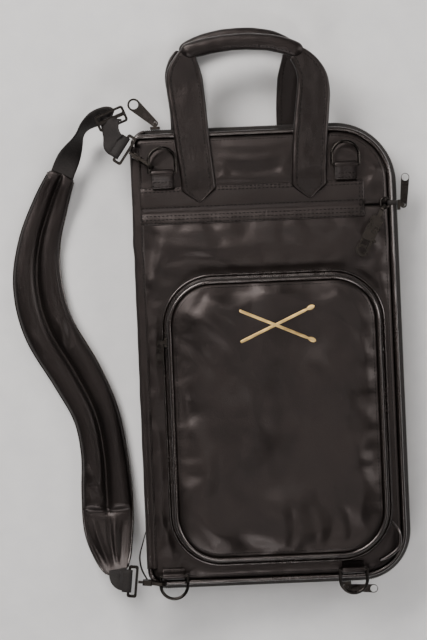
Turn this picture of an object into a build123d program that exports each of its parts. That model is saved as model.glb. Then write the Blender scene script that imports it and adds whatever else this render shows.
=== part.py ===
"""Drum stick bag lying on its back, with the front cover, pocket, handles and shoulder strap.

Millimetres. +X is the zip side, +Y the handle end, +Z out of the front. The origin is the
centre of the rear panel's outer face, which lies on the floor.
"""
from build123d import *
import math
import os

os.makedirs("parts", exist_ok=True)

# ---- driving dimensions -------------------------------------------------------------------
CASE_WIDTH = 266.0
CASE_LENGTH = 463.0
CORNERS = {"tl": 16.0, "tr": 62.0, "br": 50.0, "bl": 20.0}
CORNER_SIDES = {"tl": (-1, 1), "tr": (1, 1), "br": (1, -1), "bl": (-1, -1)}
PANEL = 5.0                # padded panel thickness
PIPING_R = 2.5
ZIP_Z = 22.0               # height of the zip's meeting line
COVER_Z = 41.0             # underside of the front cover's panels
FLARE = 5.5                # how far the zip line stands out past the piping
TAPE = 1.2                 # zip tape thickness
COIL = 1.6                 # half height of the zip coil
GAP = 0.3                  # clearance between neighbours
SPINE_X = -118.0           # the zip starts here, the spine panel is to the left
TOP_Z = COVER_Z + PANEL    # outer face of the front cover

# ---- front pocket -------------------------------------------------------------------------
POCKET_LEFT, POCKET_RIGHT = -103.0, 108.0
POCKET_BOTTOM, POCKET_TOP = -202.0, 77.0
POCKET_R = 46.0
POCKET_BASE_Z = TOP_Z + GAP
POCKET_ZIP_Z = POCKET_BASE_Z + 9.0
POCKET_FACE_Z = 63.0
POCKET_FACE = 3.5
FLAP_Y = 6.0               # fold line of the pocket's opening part

# ---- handles ------------------------------------------------------------------------------
STRAP_W = 35.0
STRAP_T = 3.0
GRIP_R = 8.5
STRAP_TOP_W = 38.0         # the straps widen towards the grip
FRONT_LEGS = (-65.0, 44.5)
REAR_LEGS = (-75.0, 33.0)
FRONT_LEAN = (-12.0, 8.5)  # how far each leg leans outwards by its top
REAR_LEAN = (-4.0, 4.0)
FRONT_HINGE = (178.0, 49.5)
FRONT_REACH = (314.0, 44.0)
REAR_HINGE = (244.0, 1.7)
REAR_REACH = (324.0, 12.4)

# ---- rings and strap ----------------------------------------------------------------------
WIRE_R = 1.6
RING_HALF = 13.5           # half width of a D-ring, to the wire's middle
RING_Z = TOP_Z + 6.6
# middle of the bar x, y, which way the ring points, straight length of its legs, length of its tab
RINGS = {"top_left": (-102.0, 186.0, 1, 11.5, 15.0), "top_right": (81.0, 187.0, 1, 9.5, 14.0),
         "bottom_left": (-107.0, -216.0, -1, 9.0, 6.5), "bottom_right": (72.0, -217.0, -1, 9.5, 7.5)}
WEBBING_W, WEBBING_T = 24.0, 1.8


def case_face(inset, spine_inset=None):
    """The case's outline, square-cornered at the spine and round at the zip side.

    The spine side has no flared tape, so its inset is smaller unless it is given.
    """
    left_inset = max(inset - FLARE, 0) if spine_inset is None else spine_inset
    with BuildSketch() as face:
        with Locations(((left_inset - inset) / 2, 0)):
            Rectangle(CASE_WIDTH - left_inset - inset, CASE_LENGTH - 2 * inset)
        for corner, (side, end) in CORNER_SIDES.items():
            point = (side * CASE_WIDTH / 2, end * CASE_LENGTH / 2)
            fillet(face.vertices().sort_by_distance(point)[0], max(CORNERS[corner] - inset, 3.0))
    return face.sketch


def pocket_face(inset):
    """The front pocket's outline."""
    with BuildSketch() as face:
        with Locations(((POCKET_LEFT + POCKET_RIGHT) / 2, (POCKET_BOTTOM + POCKET_TOP) / 2)):
            RectangleRounded(POCKET_RIGHT - POCKET_LEFT - 2 * inset,
                             POCKET_TOP - POCKET_BOTTOM - 2 * inset, POCKET_R - inset)
    return face.sketch


def box(x0, x1, y0, y1, z0, z1, mode=Mode.ADD):
    """A box between two corners, in the builder that calls it."""
    with Locations(((x0 + x1) / 2, (y0 + y1) / 2, (z0 + z1) / 2)):
        Box(x1 - x0, y1 - y0, z1 - z0, mode=mode)


def save(part, name):
    part.label = name
    export_step(part, f"parts/{name}.step")


def slab(outline, z0, z1):
    """A flat panel of the given outline."""
    with BuildPart() as piece:
        with BuildSketch(Plane.XY.offset(z0)):
            add(outline)
        extrude(amount=z1 - z0)
    return piece


def wall(outer, inner, z0, z1):
    """An upright wall between two outlines."""
    with BuildPart() as piece:
        with BuildSketch(Plane.XY.offset(z0)):
            add(outer)
            add(inner, mode=Mode.SUBTRACT)
        extrude(amount=z1 - z0)
    return piece


def flared_tape(z_piping, z_coil):
    """Half of the main zip's tape, flaring out from the piping to the coil."""
    low, high = (z_piping, FLARE), (z_coil, 0.0)
    with BuildPart() as piece:
        for skin, mode in ((0.0, Mode.ADD), (TAPE, Mode.SUBTRACT)):
            with BuildPart(mode=Mode.PRIVATE) as solid:
                for z, inset in (low, high):
                    with BuildSketch(Plane.XY.offset(z)):
                        add(case_face(inset + skin))
                loft()
            add(solid.part, mode=mode)
        box(-200, SPINE_X, -300, 300, -10, 100, mode=Mode.SUBTRACT)
    return piece


def piping(outline, z, radius):
    """Round cord in a leather cover, run along an outline."""
    path = outline.face().outer_wire()
    start = path @ 0
    with BuildPart() as piece:
        with BuildSketch(Plane(origin=start + Vector(0, 0, z), z_dir=path % 0)):
            Circle(radius)
        sweep(path=path.moved(Location((0, 0, z))), transition=Transition.ROUND)
    return piece


# ==== rear case ============================================================================
REAR_INSET = FLARE + 2 * PIPING_R
ANCHOR_Y = (150.0, 242.5)
BAND_Y = (134.0, 172.0)
BAND_X = (-127.0, 99.0)

rear_shape = slab(case_face(REAR_INSET + GAP), 0.0, PANEL)
with BuildPart() as rear_panel:
    add(rear_shape.part)
    box(BAND_X[0] - GAP, BAND_X[1] + GAP, BAND_Y[0] - GAP, BAND_Y[1] + GAP, -1, 3.2, mode=Mode.SUBTRACT)
    for x in REAR_LEGS:
        box(x - STRAP_W / 2 - GAP, x + STRAP_W / 2 + GAP, ANCHOR_Y[0] - GAP, 300, -1, 2.0,
            mode=Mode.SUBTRACT)
save(rear_panel.part, "rear_panel")

with BuildPart() as rear_band:
    box(BAND_X[0] + 5, BAND_X[1], *BAND_Y, 1.8, 3.0)
save(rear_band.part, "rear_band")

with BuildPart() as rear_anchors:
    for x in REAR_LEGS:
        box(x - STRAP_W / 2, x + STRAP_W / 2, *ANCHOR_Y, 0.0, 1.5)
save(rear_anchors.part, "rear_handle_anchors")

rear_piping = piping(case_face(FLARE + PIPING_R), PIPING_R + 1.8, PIPING_R)
save(rear_piping.part, "rear_piping")

REAR_TAPE_Z = 2 * PIPING_R + 2.2
rear_tape = flared_tape(REAR_TAPE_Z, ZIP_Z - COIL - 0.1)
save(rear_tape.part, "rear_zip_tape")

coil_outer, coil_inner = case_face(-0.3), case_face(TAPE + 0.8)
for name, z0 in (("rear_zip_coil", ZIP_Z - COIL), ("front_zip_coil", ZIP_Z + 0.1)):
    with BuildPart() as coil:
        add(wall(coil_outer, coil_inner, z0, z0 + COIL - 0.1).part)
        box(-200, SPINE_X, -300, 300, -10, 100, mode=Mode.SUBTRACT)
    save(coil.part, name)

SPINE_TOP = COVER_Z - 2.2
with BuildPart() as spine_panel:
    add(wall(case_face(1.0, 1.0), case_face(3.4, 3.4), REAR_TAPE_Z, SPINE_TOP).part)
    box(SPINE_X - GAP, 200, -300, 300, -10, 100, mode=Mode.SUBTRACT)
save(spine_panel.part, "spine_panel")

LINING_TOP = PANEL + 1.2
save(slab(case_face(REAR_INSET + 6), PANEL + 0.1, LINING_TOP).part, "rear_lining")

CHANNELS = 4
SLEEVE_X = (-112.0, 110.0)
SLEEVE_Y = (-200.0, 100.0)
SLEEVE_Z = 17.0
with BuildPart() as sleeve_panel:
    box(*SLEEVE_X, *SLEEVE_Y, SLEEVE_Z, SLEEVE_Z + 1.2)
save(sleeve_panel.part, "stick_sleeve_panel")

seam_pitch = (SLEEVE_X[1] - SLEEVE_X[0] - 2.0) / CHANNELS
with BuildPart() as sleeve_seams:
    for i in range(CHANNELS + 1):
        x = SLEEVE_X[0] + 1.0 + i * seam_pitch
        box(x - 0.8, x + 0.8, SLEEVE_Y[0] + 2.0, SLEEVE_Y[1], LINING_TOP + 0.1, SLEEVE_Z - 0.1)
    box(*SLEEVE_X, SLEEVE_Y[0], SLEEVE_Y[0] + 1.8, LINING_TOP + 0.1, SLEEVE_Z - 0.1)
save(sleeve_seams.part, "stick_sleeve_seams")

# ==== front cover ==========================================================================
YOKE_Y = 146.0
cover_outline = case_face(FLARE + 2 * PIPING_R + GAP)
for name, y0, y1 in (("lower_front_panel", -300, YOKE_Y), ("upper_front_panel", YOKE_Y + GAP, 300)):
    with BuildPart() as panel:
        add(slab(cover_outline, COVER_Z, TOP_Z).part)
        box(-200, 200, y0, y1, COVER_Z - 5, TOP_Z + 5, mode=Mode.INTERSECT)
    save(panel.part, name)

BAND_TOP = TOP_Z + 1.3
with BuildPart() as front_band:
    box(BAND_X[0] + 5, BAND_X[1], *BAND_Y, TOP_Z + 0.1, BAND_TOP)
save(front_band.part, "front_band")

COVER_PIPING_Z = COVER_Z + PIPING_R - 1.0
front_piping = piping(case_face(FLARE + PIPING_R), COVER_PIPING_Z, PIPING_R)
save(front_piping.part, "front_piping")

front_tape = flared_tape(COVER_PIPING_Z - PIPING_R - 0.3, ZIP_Z + COIL + 0.2)
save(front_tape.part, "front_zip_tape")

save(slab(case_face(REAR_INSET + 6), COVER_Z - 1.3, COVER_Z - 0.1).part, "front_lining")

FRONT_ANCHOR_Y = 156.0
with BuildPart() as front_anchors:
    for x in FRONT_LEGS:
        with BuildSketch(Plane.XY.offset(BAND_TOP + 0.1)):
            with BuildLine():
                Polyline((x - STRAP_W / 2, FRONT_HINGE[0] - 2.2), (x - STRAP_W / 2, FRONT_ANCHOR_Y + 12),
                         (x, FRONT_ANCHOR_Y), (x + STRAP_W / 2, FRONT_ANCHOR_Y + 12),
                         (x + STRAP_W / 2, FRONT_HINGE[0] - 2.2), close=True)
            make_face()
        extrude(amount=STRAP_T - 0.6)
save(front_anchors.part, "front_handle_anchors")

# ---- front pocket -------------------------------------------------------------------------
welt = wall(pocket_face(-6.0), pocket_face(0.6), TOP_Z + 0.1, TOP_Z + 2.4)
save(welt.part, "pocket_welt")

pocket_base = wall(pocket_face(0.9), pocket_face(3.3), POCKET_BASE_Z, POCKET_ZIP_Z)
save(pocket_base.part, "pocket_gusset_base")

FLAP_SPLIT = FLAP_Y + 2.0
pocket_upper = wall(pocket_face(0.9), pocket_face(3.3), POCKET_ZIP_Z + GAP, POCKET_FACE_Z - GAP)
for name, y0, y1 in (("pocket_gusset", -300, FLAP_Y - GAP), ("pocket_flap_gusset", FLAP_SPLIT, 300)):
    with BuildPart() as gusset:
        add(pocket_upper.part)
        box(-200, 200, y0, y1, 0, 100, mode=Mode.INTERSECT)
    save(gusset.part, name)

pocket_slab = slab(pocket_face(2 * 2.0 + GAP), POCKET_FACE_Z, POCKET_FACE_Z + POCKET_FACE)
pocket_cord = piping(pocket_face(2.0), POCKET_FACE_Z + 2.0, 2.0)
pocket_zip = wall(pocket_face(-0.8), pocket_face(0.6), POCKET_ZIP_Z - 1.6, POCKET_ZIP_Z + 1.6)
for name, source, y0, y1 in (
        ("pocket_face", pocket_slab, -300, FLAP_Y - GAP),
        ("pocket_flap", pocket_slab, FLAP_Y, 300),
        ("pocket_piping", pocket_cord, -300, FLAP_Y - GAP),
        ("pocket_flap_piping", pocket_cord, FLAP_Y, 300)):
    with BuildPart() as piece:
        add(source.part)
        box(-200, 200, y0, y1, 0, 100, mode=Mode.INTERSECT)
    save(piece.part, name)
for name, z0, z1 in (("pocket_zip_coil_base", POCKET_ZIP_Z - 1.6, POCKET_ZIP_Z - 0.1),
                     ("pocket_zip_coil_flap", POCKET_ZIP_Z + 0.1, POCKET_ZIP_Z + 1.6)):
    with BuildPart() as piece:
        add(pocket_zip.part)
        box(-200, 200, FLAP_SPLIT, 300, z0, z1, mode=Mode.INTERSECT)
    save(piece.part, name)

# the emblem is a pair of crossed sticks
EMBLEM_AT = (4.0, 30.0)
EMBLEM_Z = POCKET_FACE_Z + POCKET_FACE + 0.1
with BuildPart() as emblem:
    for tilt in (24, -24):
        plane = Plane(origin=(*EMBLEM_AT, EMBLEM_Z), x_dir=(math.cos(math.radians(tilt)),
                                                            math.sin(math.radians(tilt)), 0))
        with BuildSketch(plane):
            with Locations((-4, 0)):
                SlotCenterToCenter(68, 3.0)
            with Locations((39, 0)):
                Ellipse(4.0, 2.4)
        extrude(amount=0.5)
save(emblem.part, "emblem")

# ---- D-rings and their tabs ---------------------------------------------------------------
TAB_W = 22.0
with BuildPart() as tabs:
    for x, y, way, leg, tab_length in RINGS.values():
        span = (x - TAB_W / 2, x + TAB_W / 2)
        tip = y + way * 3.2
        box(*span, *sorted((y - way * tab_length, y - way * 2.4)), BAND_TOP + 0.1, RING_Z + 3.2)
        box(*span, *sorted((y - way * 2.6, tip)), RING_Z - 3.2, RING_Z - 2.0)
        box(*span, *sorted((y - way * 2.6, tip)), RING_Z + 2.0, RING_Z + 3.2)
        box(*span, *sorted((tip - way * 1.2, tip)), RING_Z - 3.2, RING_Z + 3.2)
save(tabs.part, "ring_tabs")

for name, (x, y, way, leg, _) in RINGS.items():
    plane = Plane(origin=(x, y, RING_Z), x_dir=(way, 0, 0), z_dir=(0, 0, 1))
    with BuildPart() as ring:
        with BuildLine(plane) as loop:
            base = Line((-RING_HALF, 0), (RING_HALF, 0))
            side = Line(base @ 1, (RING_HALF, leg))
            arc = RadiusArc(side @ 1, (-RING_HALF, leg), -RING_HALF)
            Line(arc @ 1, base @ 0)
        with BuildSketch(Plane(origin=loop.wire() @ 0.02, z_dir=loop.wire() % 0.02)):
            Circle(WIRE_R)
        sweep(path=loop.wire(), transition=Transition.ROUND)
    save(ring.part, f"d_ring_{name}")

# ==== handles ==============================================================================


def handle(name, legs, lean, hinge, reach, first):
    """Two flat straps from the hinge line and the rolled grip that joins them."""
    along = Vector(0, reach[0] - hinge[0], reach[1] - hinge[1])
    up = Vector(1, 0, 0).cross(along)
    plane = Plane(origin=(0, *hinge), x_dir=(1, 0, 0), z_dir=up)
    length = along.length
    strap_end = length - 27.0
    with BuildPart() as straps:
        for x, out in zip(legs, lean):
            with BuildSketch(plane):
                with BuildLine():
                    Polyline((x - STRAP_W / 2, first), (x + STRAP_W / 2, first),
                             (x + out + STRAP_TOP_W / 2, strap_end),
                             (x + out - STRAP_TOP_W / 2, strap_end), close=True)
                make_face()
            extrude(amount=STRAP_T / 2, both=True)
    save(straps.part, f"{name}_handle_straps")
    left, right = (x + out for x, out in zip(legs, lean))
    with BuildPart() as grip:
        with BuildLine(plane) as route:
            FilletPolyline((left, strap_end + GAP), (left, length), (right, length),
                           (right, strap_end + GAP), radius=22)
        with BuildSketch(Plane(origin=route.wire() @ 0, z_dir=route.wire() % 0)):
            Circle(GRIP_R)
        sweep(path=route.wire())
    save(grip.part, f"{name}_handle_grip")


handle("front", FRONT_LEGS, FRONT_LEAN, FRONT_HINGE, FRONT_REACH, 1.0)
handle("rear", REAR_LEGS, REAR_LEAN, REAR_HINGE, REAR_REACH, 0.5)

# ==== zip sliders and pullers ==============================================================
SLIDER = 10.0


def slider(name, at, out, height, tall=9.0):
    """The outer plate of a zip slider, with a staple for the puller's pin. out is the way out of the wall."""
    plane = Plane(origin=at, x_dir=Vector(0, 0, 1), z_dir=out)
    with BuildPart() as piece:
        with BuildSketch(plane):
            RectangleRounded(tall, SLIDER, 2.0)
        extrude(amount=2.6)
        for z in (-height, height):
            with BuildSketch(plane.offset(2.5)):
                with Locations((z, 0)):
                    Rectangle(1.6, 3.0)
            extrude(amount=4.6)
        with BuildSketch(Plane(origin=Vector(*at) + Vector(*out) * 6.2, x_dir=out,
                               z_dir=(0, 0, 1)).offset(-height - 0.8)):
            Circle(0.9)
        extrude(amount=2 * height + 1.6)
    save(piece.part, name)


def puller(name, pin, heading, length, thickness, hole_r, width=6.5):
    """A teardrop plate on the slider's pin, with a round window in its wide end."""
    plane = Plane(origin=Vector(*pin) - Vector(0, 0, thickness / 2), x_dir=(*heading, 0), z_dir=(0, 0, 1))
    with BuildPart() as piece:
        with BuildSketch(plane):
            Circle(3.4)
            with Locations((length - width, 0)):
                Circle(width)
            make_hull()
            with Locations((length - width, 0)):
                Circle(hole_r, mode=Mode.SUBTRACT)
            Circle(1.9, mode=Mode.SUBTRACT)
        extrude(amount=thickness)
    save(piece.part, name)


WALL_Y = CASE_LENGTH / 2 + 0.7
WALL_X = CASE_WIDTH / 2 + 0.7
slider("zip_slider_top", (-108, WALL_Y, ZIP_Z), (0, 1, 0), 3.4)
puller("zip_puller_top", (-108, WALL_Y + 6.2, ZIP_Z), (-0.72, 0.69), 35.0, 1.8, 4.5)
slider("zip_slider_side", (WALL_X, 146, ZIP_Z), (1, 0, 0), 3.4)
puller("zip_puller_side", (WALL_X + 6.2, 146, ZIP_Z), (0.1, 1), 32.0, 1.8, 3.6, width=4.2)
slider("zip_slider_bottom", (66, -WALL_Y, ZIP_Z), (0, -1, 0), 3.4)
puller("zip_puller_bottom", (66, -WALL_Y - 6.2, ZIP_Z), (1, -0.08), 32.0, 1.8, 3.6, width=4.2)
POCKET_SIDE_X = POCKET_LEFT - 1.1
slider("pocket_slider", (POCKET_SIDE_X, 17, POCKET_ZIP_Z), (-1, 0, 0), 2.4, tall=7.0)
puller("pocket_puller", (POCKET_SIDE_X - 6.2, 17, POCKET_ZIP_Z), (-0.1, -1), 24.0, 1.4, 2.6, width=4.0)

# ==== snap hooks ===========================================================================
HOOK_IN, HOOK_OUT = 3.7, 6.2
HOOK_T = 3.2


def snap_hook(name, gate_name, centre, along, face, body_start, body_end, body_w, eye):
    """A hook with its gate. centre is the middle of the hook's eye, along points to its swivel."""
    plane = Plane(origin=centre, x_dir=along, z_dir=face)
    gate_y = -(HOOK_IN + HOOK_OUT) / 2
    with BuildPart() as hook:
        with BuildSketch(plane):
            Circle(HOOK_OUT)
            Circle(HOOK_IN, mode=Mode.SUBTRACT)
            with Locations((HOOK_OUT, gate_y)):
                Rectangle(2 * HOOK_OUT, 4.4, mode=Mode.SUBTRACT)
            with Locations((body_start / 2, -gate_y)):
                Rectangle(body_start, HOOK_OUT - HOOK_IN)
        extrude(amount=HOOK_T / 2, both=True)
        with BuildSketch(plane):
            with Locations(((body_start + body_end) / 2, 0)):
                RectangleRounded(body_end - body_start, body_w, 1.5)
        extrude(amount=HOOK_T / 2 + 1.0, both=True)
        with BuildSketch(plane):
            with Locations(((body_start + body_end) / 2, gate_y - 1)):
                Rectangle(body_end - body_start + 2, 5.2)
        extrude(amount=HOOK_T / 2 + 0.2, both=True, mode=Mode.SUBTRACT)
        with BuildSketch(plane.offset(-1.2)):
            with Locations((body_end + 2.0, 0)):
                Rectangle(5.0, 4.0)
        extrude(amount=2.4)
        eye(plane, body_end + 4.0)
    save(hook.part, name)
    with BuildPart() as gate:
        with BuildSketch(plane):
            with Locations((0.3 + (body_start + 4.0) / 2, gate_y)):
                Rectangle(body_start + 4.0, HOOK_OUT - HOOK_IN)
            with Locations((body_start + 2.0, gate_y - 2.4)):
                Rectangle(2.4, 3.0)
        extrude(amount=HOOK_T / 2 - 0.3, both=True)
    save(gate.part, gate_name)


def no_eye(plane, start):
    """The swivel's eye is a node of its own."""


STRAP_TOP = Vector(RINGS["top_left"][0] - RING_HALF, RINGS["top_left"][1] + 8.6, RING_Z)
STRAP_BOTTOM = Vector(RINGS["bottom_left"][0] - RING_HALF, RINGS["bottom_left"][1] - 6.8, RING_Z)
TOP_ALONG = Vector(-0.82, 0.57, 0).normalized()
BOTTOM_ALONG = Vector(-0.99, 0.12, 0).normalized()
SWIVEL_AT = 28.0
for end, centre, along in (("top", STRAP_TOP, TOP_ALONG), ("bottom", STRAP_BOTTOM, BOTTOM_ALONG)):
    across = Vector(0, 0, 1).cross(along)
    face = across if end == "top" else across * -1
    snap_hook(f"strap_hook_{end}", f"hook_gate_{end}", centre, along, face, 8.5, 18.0, 2 * HOOK_OUT, no_eye)
    plane = Plane(origin=centre + along * SWIVEL_AT, x_dir=along, z_dir=(0, 0, 1))
    with BuildPart() as swivel:
        with BuildSketch(plane):
            RectangleRounded(10.0, 32.0, 2.5)
            RectangleRounded(5.0, 26.5, 1.0, mode=Mode.SUBTRACT)
        extrude(amount=1.5, both=True)
    save(swivel.part, f"strap_swivel_{end}")

# ---- key clip -----------------------------------------------------------------------------
CLIP_Z = BAND_TOP + 4.4
CLIP_PIVOT = Vector(119, 147, CLIP_Z)
CLIP_EYE = Vector(94, 101, CLIP_Z)
CLIP_LOOP = (120.4, 130.0, 144.6, 149.4)
clip_along = (CLIP_PIVOT - CLIP_EYE).normalized()
clip_span = (CLIP_PIVOT - CLIP_EYE).length - 5.0


def clip_eye(plane, start):
    """The fork and eye that hang on the key clip's small ring."""
    with BuildSketch(plane.offset(-1.2)) as fork:
        with Locations(((start + clip_span - 2.4) / 2, 0)):
            Rectangle(clip_span - 2.4 - start + 1.0, 4.0)
    extrude(fork.sketch, amount=2.4)
    with BuildSketch(Plane(origin=plane.origin + plane.x_dir * clip_span, x_dir=plane.x_dir,
                           z_dir=plane.y_dir).offset(-1.1)) as small_eye:
        Circle(3.6)
        Circle(1.9, mode=Mode.SUBTRACT)
    extrude(small_eye.sketch, amount=2.2)


snap_hook("key_clip_body", "key_clip_gate", CLIP_EYE, clip_along, (0, 0, 1), 11.0, 36.0, 12.6, clip_eye)
with BuildPart() as clip_ring:
    with Locations(CLIP_PIVOT):
        Torus(5.0, 1.0)
save(clip_ring.part, "key_clip_ring")
with BuildPart() as clip_loop:
    box(*CLIP_LOOP, CLIP_Z + 1.6, CLIP_Z + 2.8)
    box(*CLIP_LOOP, CLIP_Z - 3.2, CLIP_Z - 2.0)
    box(CLIP_LOOP[0], CLIP_LOOP[0] + 1.2, *CLIP_LOOP[2:], CLIP_Z - 3.2, CLIP_Z + 2.8)
save(clip_loop.part, "key_clip_loop")

# ==== shoulder strap =======================================================================


def ribbon(stations):
    """A soft strip lofted through (x, y, z, width, thickness) stations, kept level across."""
    points = [Vector(*s[:3]) for s in stations]
    with BuildPart() as piece:
        for i, (_, _, _, width, thick) in enumerate(stations):
            tangent = points[min(i + 1, len(points) - 1)] - points[max(i - 1, 0)]
            side = tangent.cross(Vector(0, 0, 1))
            with BuildSketch(Plane(origin=points[i], x_dir=side, z_dir=tangent)):
                RectangleRounded(width, thick, thick * 0.45)
        loft()
    return piece


PAD = ((-204, 192, 17, 27, 8), (-218, 161, 10, 35, 10), (-231, 122, 7.5, 42, 12), (-234.5, 80, 7.5, 49, 12),
       (-225, 36, 7.5, 51, 12), (-199, -12, 7.5, 50, 12), (-181, -52, 7.5, 46, 12), (-174, -92, 7.5, 46, 12),
       (-172.5, -135, 9, 51, 12), (-172, -170, 13, 49, 11), (-168, -198, 20, 36, 9), (-164, -214, 28, 20, 7))
save(ribbon(PAD).part, "strap_pad")

top_eye = STRAP_TOP + TOP_ALONG * (SWIVEL_AT + 7.4)
top_run = STRAP_TOP + TOP_ALONG * (SWIVEL_AT + 13.0)
bottom_eye = STRAP_BOTTOM + BOTTOM_ALONG * (SWIVEL_AT + 7.8)
ADJUSTER = Vector(-151, 243, 43)
upper_webbing = ((*top_eye, WEBBING_W, WEBBING_T), (*top_run, WEBBING_W, WEBBING_T),
                 (-150.5, 230, 49, WEBBING_W, WEBBING_T), (-151, 240, 46, WEBBING_W, WEBBING_T))
middle_webbing = ((-153.5, 249, 38.6, WEBBING_W, WEBBING_T), (-168, 245, 33, WEBBING_W, WEBBING_T),
                  (-184, 231, 27, WEBBING_W, WEBBING_T), (-196, 211, 22, WEBBING_W, WEBBING_T),
                  (-203.4, 193.6, 17.6, WEBBING_W, WEBBING_T))
lower_webbing = ((-163.2, -217.2, 32, 19, WEBBING_T), (-160.5, -219, 42, 20, WEBBING_T),
                 (*bottom_eye, 22, WEBBING_T))
with BuildPart() as webbing:
    add(ribbon(upper_webbing).part)
    add(ribbon(middle_webbing).part)
save(webbing.part, "strap_webbing_upper")
save(ribbon(lower_webbing).part, "strap_webbing_lower")

adjuster_plane = Plane(origin=ADJUSTER, x_dir=(0.93, 0.36, 0), z_dir=(0.1, -0.25, 1))
with BuildPart() as adjuster:
    with BuildSketch(adjuster_plane):
        RectangleRounded(31.0, 17.0, 3.0)
        with Locations((0, 4.0), (0, -4.0)):
            RectangleRounded(26.0, 4.4, 1.0, mode=Mode.SUBTRACT)
    extrude(amount=1.3, both=True)
save(adjuster.part, "strap_adjuster")
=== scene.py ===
"""Black leather drum stick bag: soft pieces, materials, light and camera over the CAD frame.

Shapes are worked in millimetres and made in metres. +X is the zip side, +Y the handle end,
+Z out of the front.
"""

import bmesh
import bpy
import math
import numpy as np
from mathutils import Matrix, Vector, noise
from mathutils.bvhtree import BVHTree


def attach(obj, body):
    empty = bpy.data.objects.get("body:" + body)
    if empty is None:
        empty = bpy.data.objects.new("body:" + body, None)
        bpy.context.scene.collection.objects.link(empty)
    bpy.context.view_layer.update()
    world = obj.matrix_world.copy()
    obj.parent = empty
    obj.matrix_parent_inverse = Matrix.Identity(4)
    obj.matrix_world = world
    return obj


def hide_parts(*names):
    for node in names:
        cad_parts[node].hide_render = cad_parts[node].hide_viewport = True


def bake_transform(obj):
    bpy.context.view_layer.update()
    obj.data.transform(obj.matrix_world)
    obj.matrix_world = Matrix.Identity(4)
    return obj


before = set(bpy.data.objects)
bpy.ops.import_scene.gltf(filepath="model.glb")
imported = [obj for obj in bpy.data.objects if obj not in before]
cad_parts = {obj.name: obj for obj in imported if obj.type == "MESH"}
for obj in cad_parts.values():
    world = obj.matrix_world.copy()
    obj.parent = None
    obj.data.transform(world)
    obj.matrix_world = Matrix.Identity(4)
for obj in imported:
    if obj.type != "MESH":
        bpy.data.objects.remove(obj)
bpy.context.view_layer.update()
MM = 0.001

# ---- sizes that the soft pieces share with the CAD ------------------------------------------
CASE_X, CASE_Y = 133.0, 231.5
CORNERS = {"bl": 20.0, "br": 50.0, "tr": 62.0, "tl": 16.0}
FLARE = 5.5
SPINE_X = -118.0
PANEL_INSET, PIPING_INSET, LINING_INSET = 10.8, 8.0, 16.5
PIPING_R = 2.5
TEETH_PITCH = 1.9
COVER_Z, TOP_Z = 41.0, 46.0
YOKE_Y = 146.0
BAND_Y = (134.0, 172.0)
POCKET = (-103.0, 108.0, -202.0, 77.0)
POCKET_R = 46.0
FLAP_Y = 6.0
FACE_Z = 63.0
POCKET_ZIP_Z = 55.3


# ---- outlines -------------------------------------------------------------------------------
def case_rect(inset, left=None):
    """The case outline, inset, as x0, x1, y0, y1 and its four corner radii."""
    left = max(inset - FLARE, 0.0) if left is None else left
    radii = {c: max(r - inset, 3.0) for c, r in CORNERS.items()}
    return -CASE_X + left, CASE_X - inset, -CASE_Y + inset, CASE_Y - inset, radii


def pocket_rect(inset):
    x0, x1, y0, y1 = POCKET
    r = POCKET_R - inset
    return x0 + inset, x1 - inset, y0 + inset, y1 - inset, dict(bl=r, br=r, tr=r, tl=r)


def cut_rect(rect, y0, y1):
    """The part of an outline between two heights, with square corners where it is cut."""
    a, b, low, high, radii = rect
    radii = dict(radii)
    if y0 > low:
        radii.update(bl=1.0, br=1.0)
    if y1 < high:
        radii.update(tl=1.0, tr=1.0)
    return a, b, max(y0, low), min(y1, high), radii


def outline(rect, step=2.5):
    """Points round an outline, from the lower left, with the same count whatever the inset."""
    x0, x1, y0, y1, r = rect
    corners = ((x0 + r["bl"], y0 + r["bl"], r["bl"], 180), (x1 - r["br"], y0 + r["br"], r["br"], 270),
               (x1 - r["tr"], y1 - r["tr"], r["tr"], 0), (x0 + r["tl"], y1 - r["tl"], r["tl"], 90))
    sides = (int(260 / step), int(460 / step)) * 2
    points = []
    for i, (cx, cy, radius, angle) in enumerate(corners):
        for k in range(17):
            a = math.radians(angle + 90 * k / 16)
            points.append((cx + radius * math.cos(a), cy + radius * math.sin(a)))
        nx, ny, nr, na = corners[(i + 1) % 4]
        goal = np.array((nx + nr * math.cos(math.radians(na)), ny + nr * math.sin(math.radians(na))))
        last = np.array(points[-1])
        points += [tuple(last + (goal - last) * k / sides[i]) for k in range(1, sides[i])]
    return np.array(points)


def normals_of(points):
    """Outward normals of a closed counter-clockwise outline."""
    t = np.roll(points, -1, 0) - np.roll(points, 1, 0)
    t /= np.maximum(np.linalg.norm(t, axis=1, keepdims=True), 1e-9)
    return np.stack((t[:, 1], -t[:, 0]), 1)


def edge_distance(x, y, rect):
    """How far points are inside an outline."""
    x0, x1, y0, y1, radii = rect
    cx, cy = (x0 + x1) / 2, (y0 + y1) / 2
    r = np.where(x < cx, np.where(y < cy, radii["bl"], radii["tl"]),
                 np.where(y < cy, radii["br"], radii["tr"]))
    qx = np.abs(x - cx) - (x1 - x0) / 2 + r
    qy = np.abs(y - cy) - (y1 - y0) / 2 + r
    return -(np.hypot(np.maximum(qx, 0), np.maximum(qy, 0)) + np.minimum(np.maximum(qx, qy), 0) - r)


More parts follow.
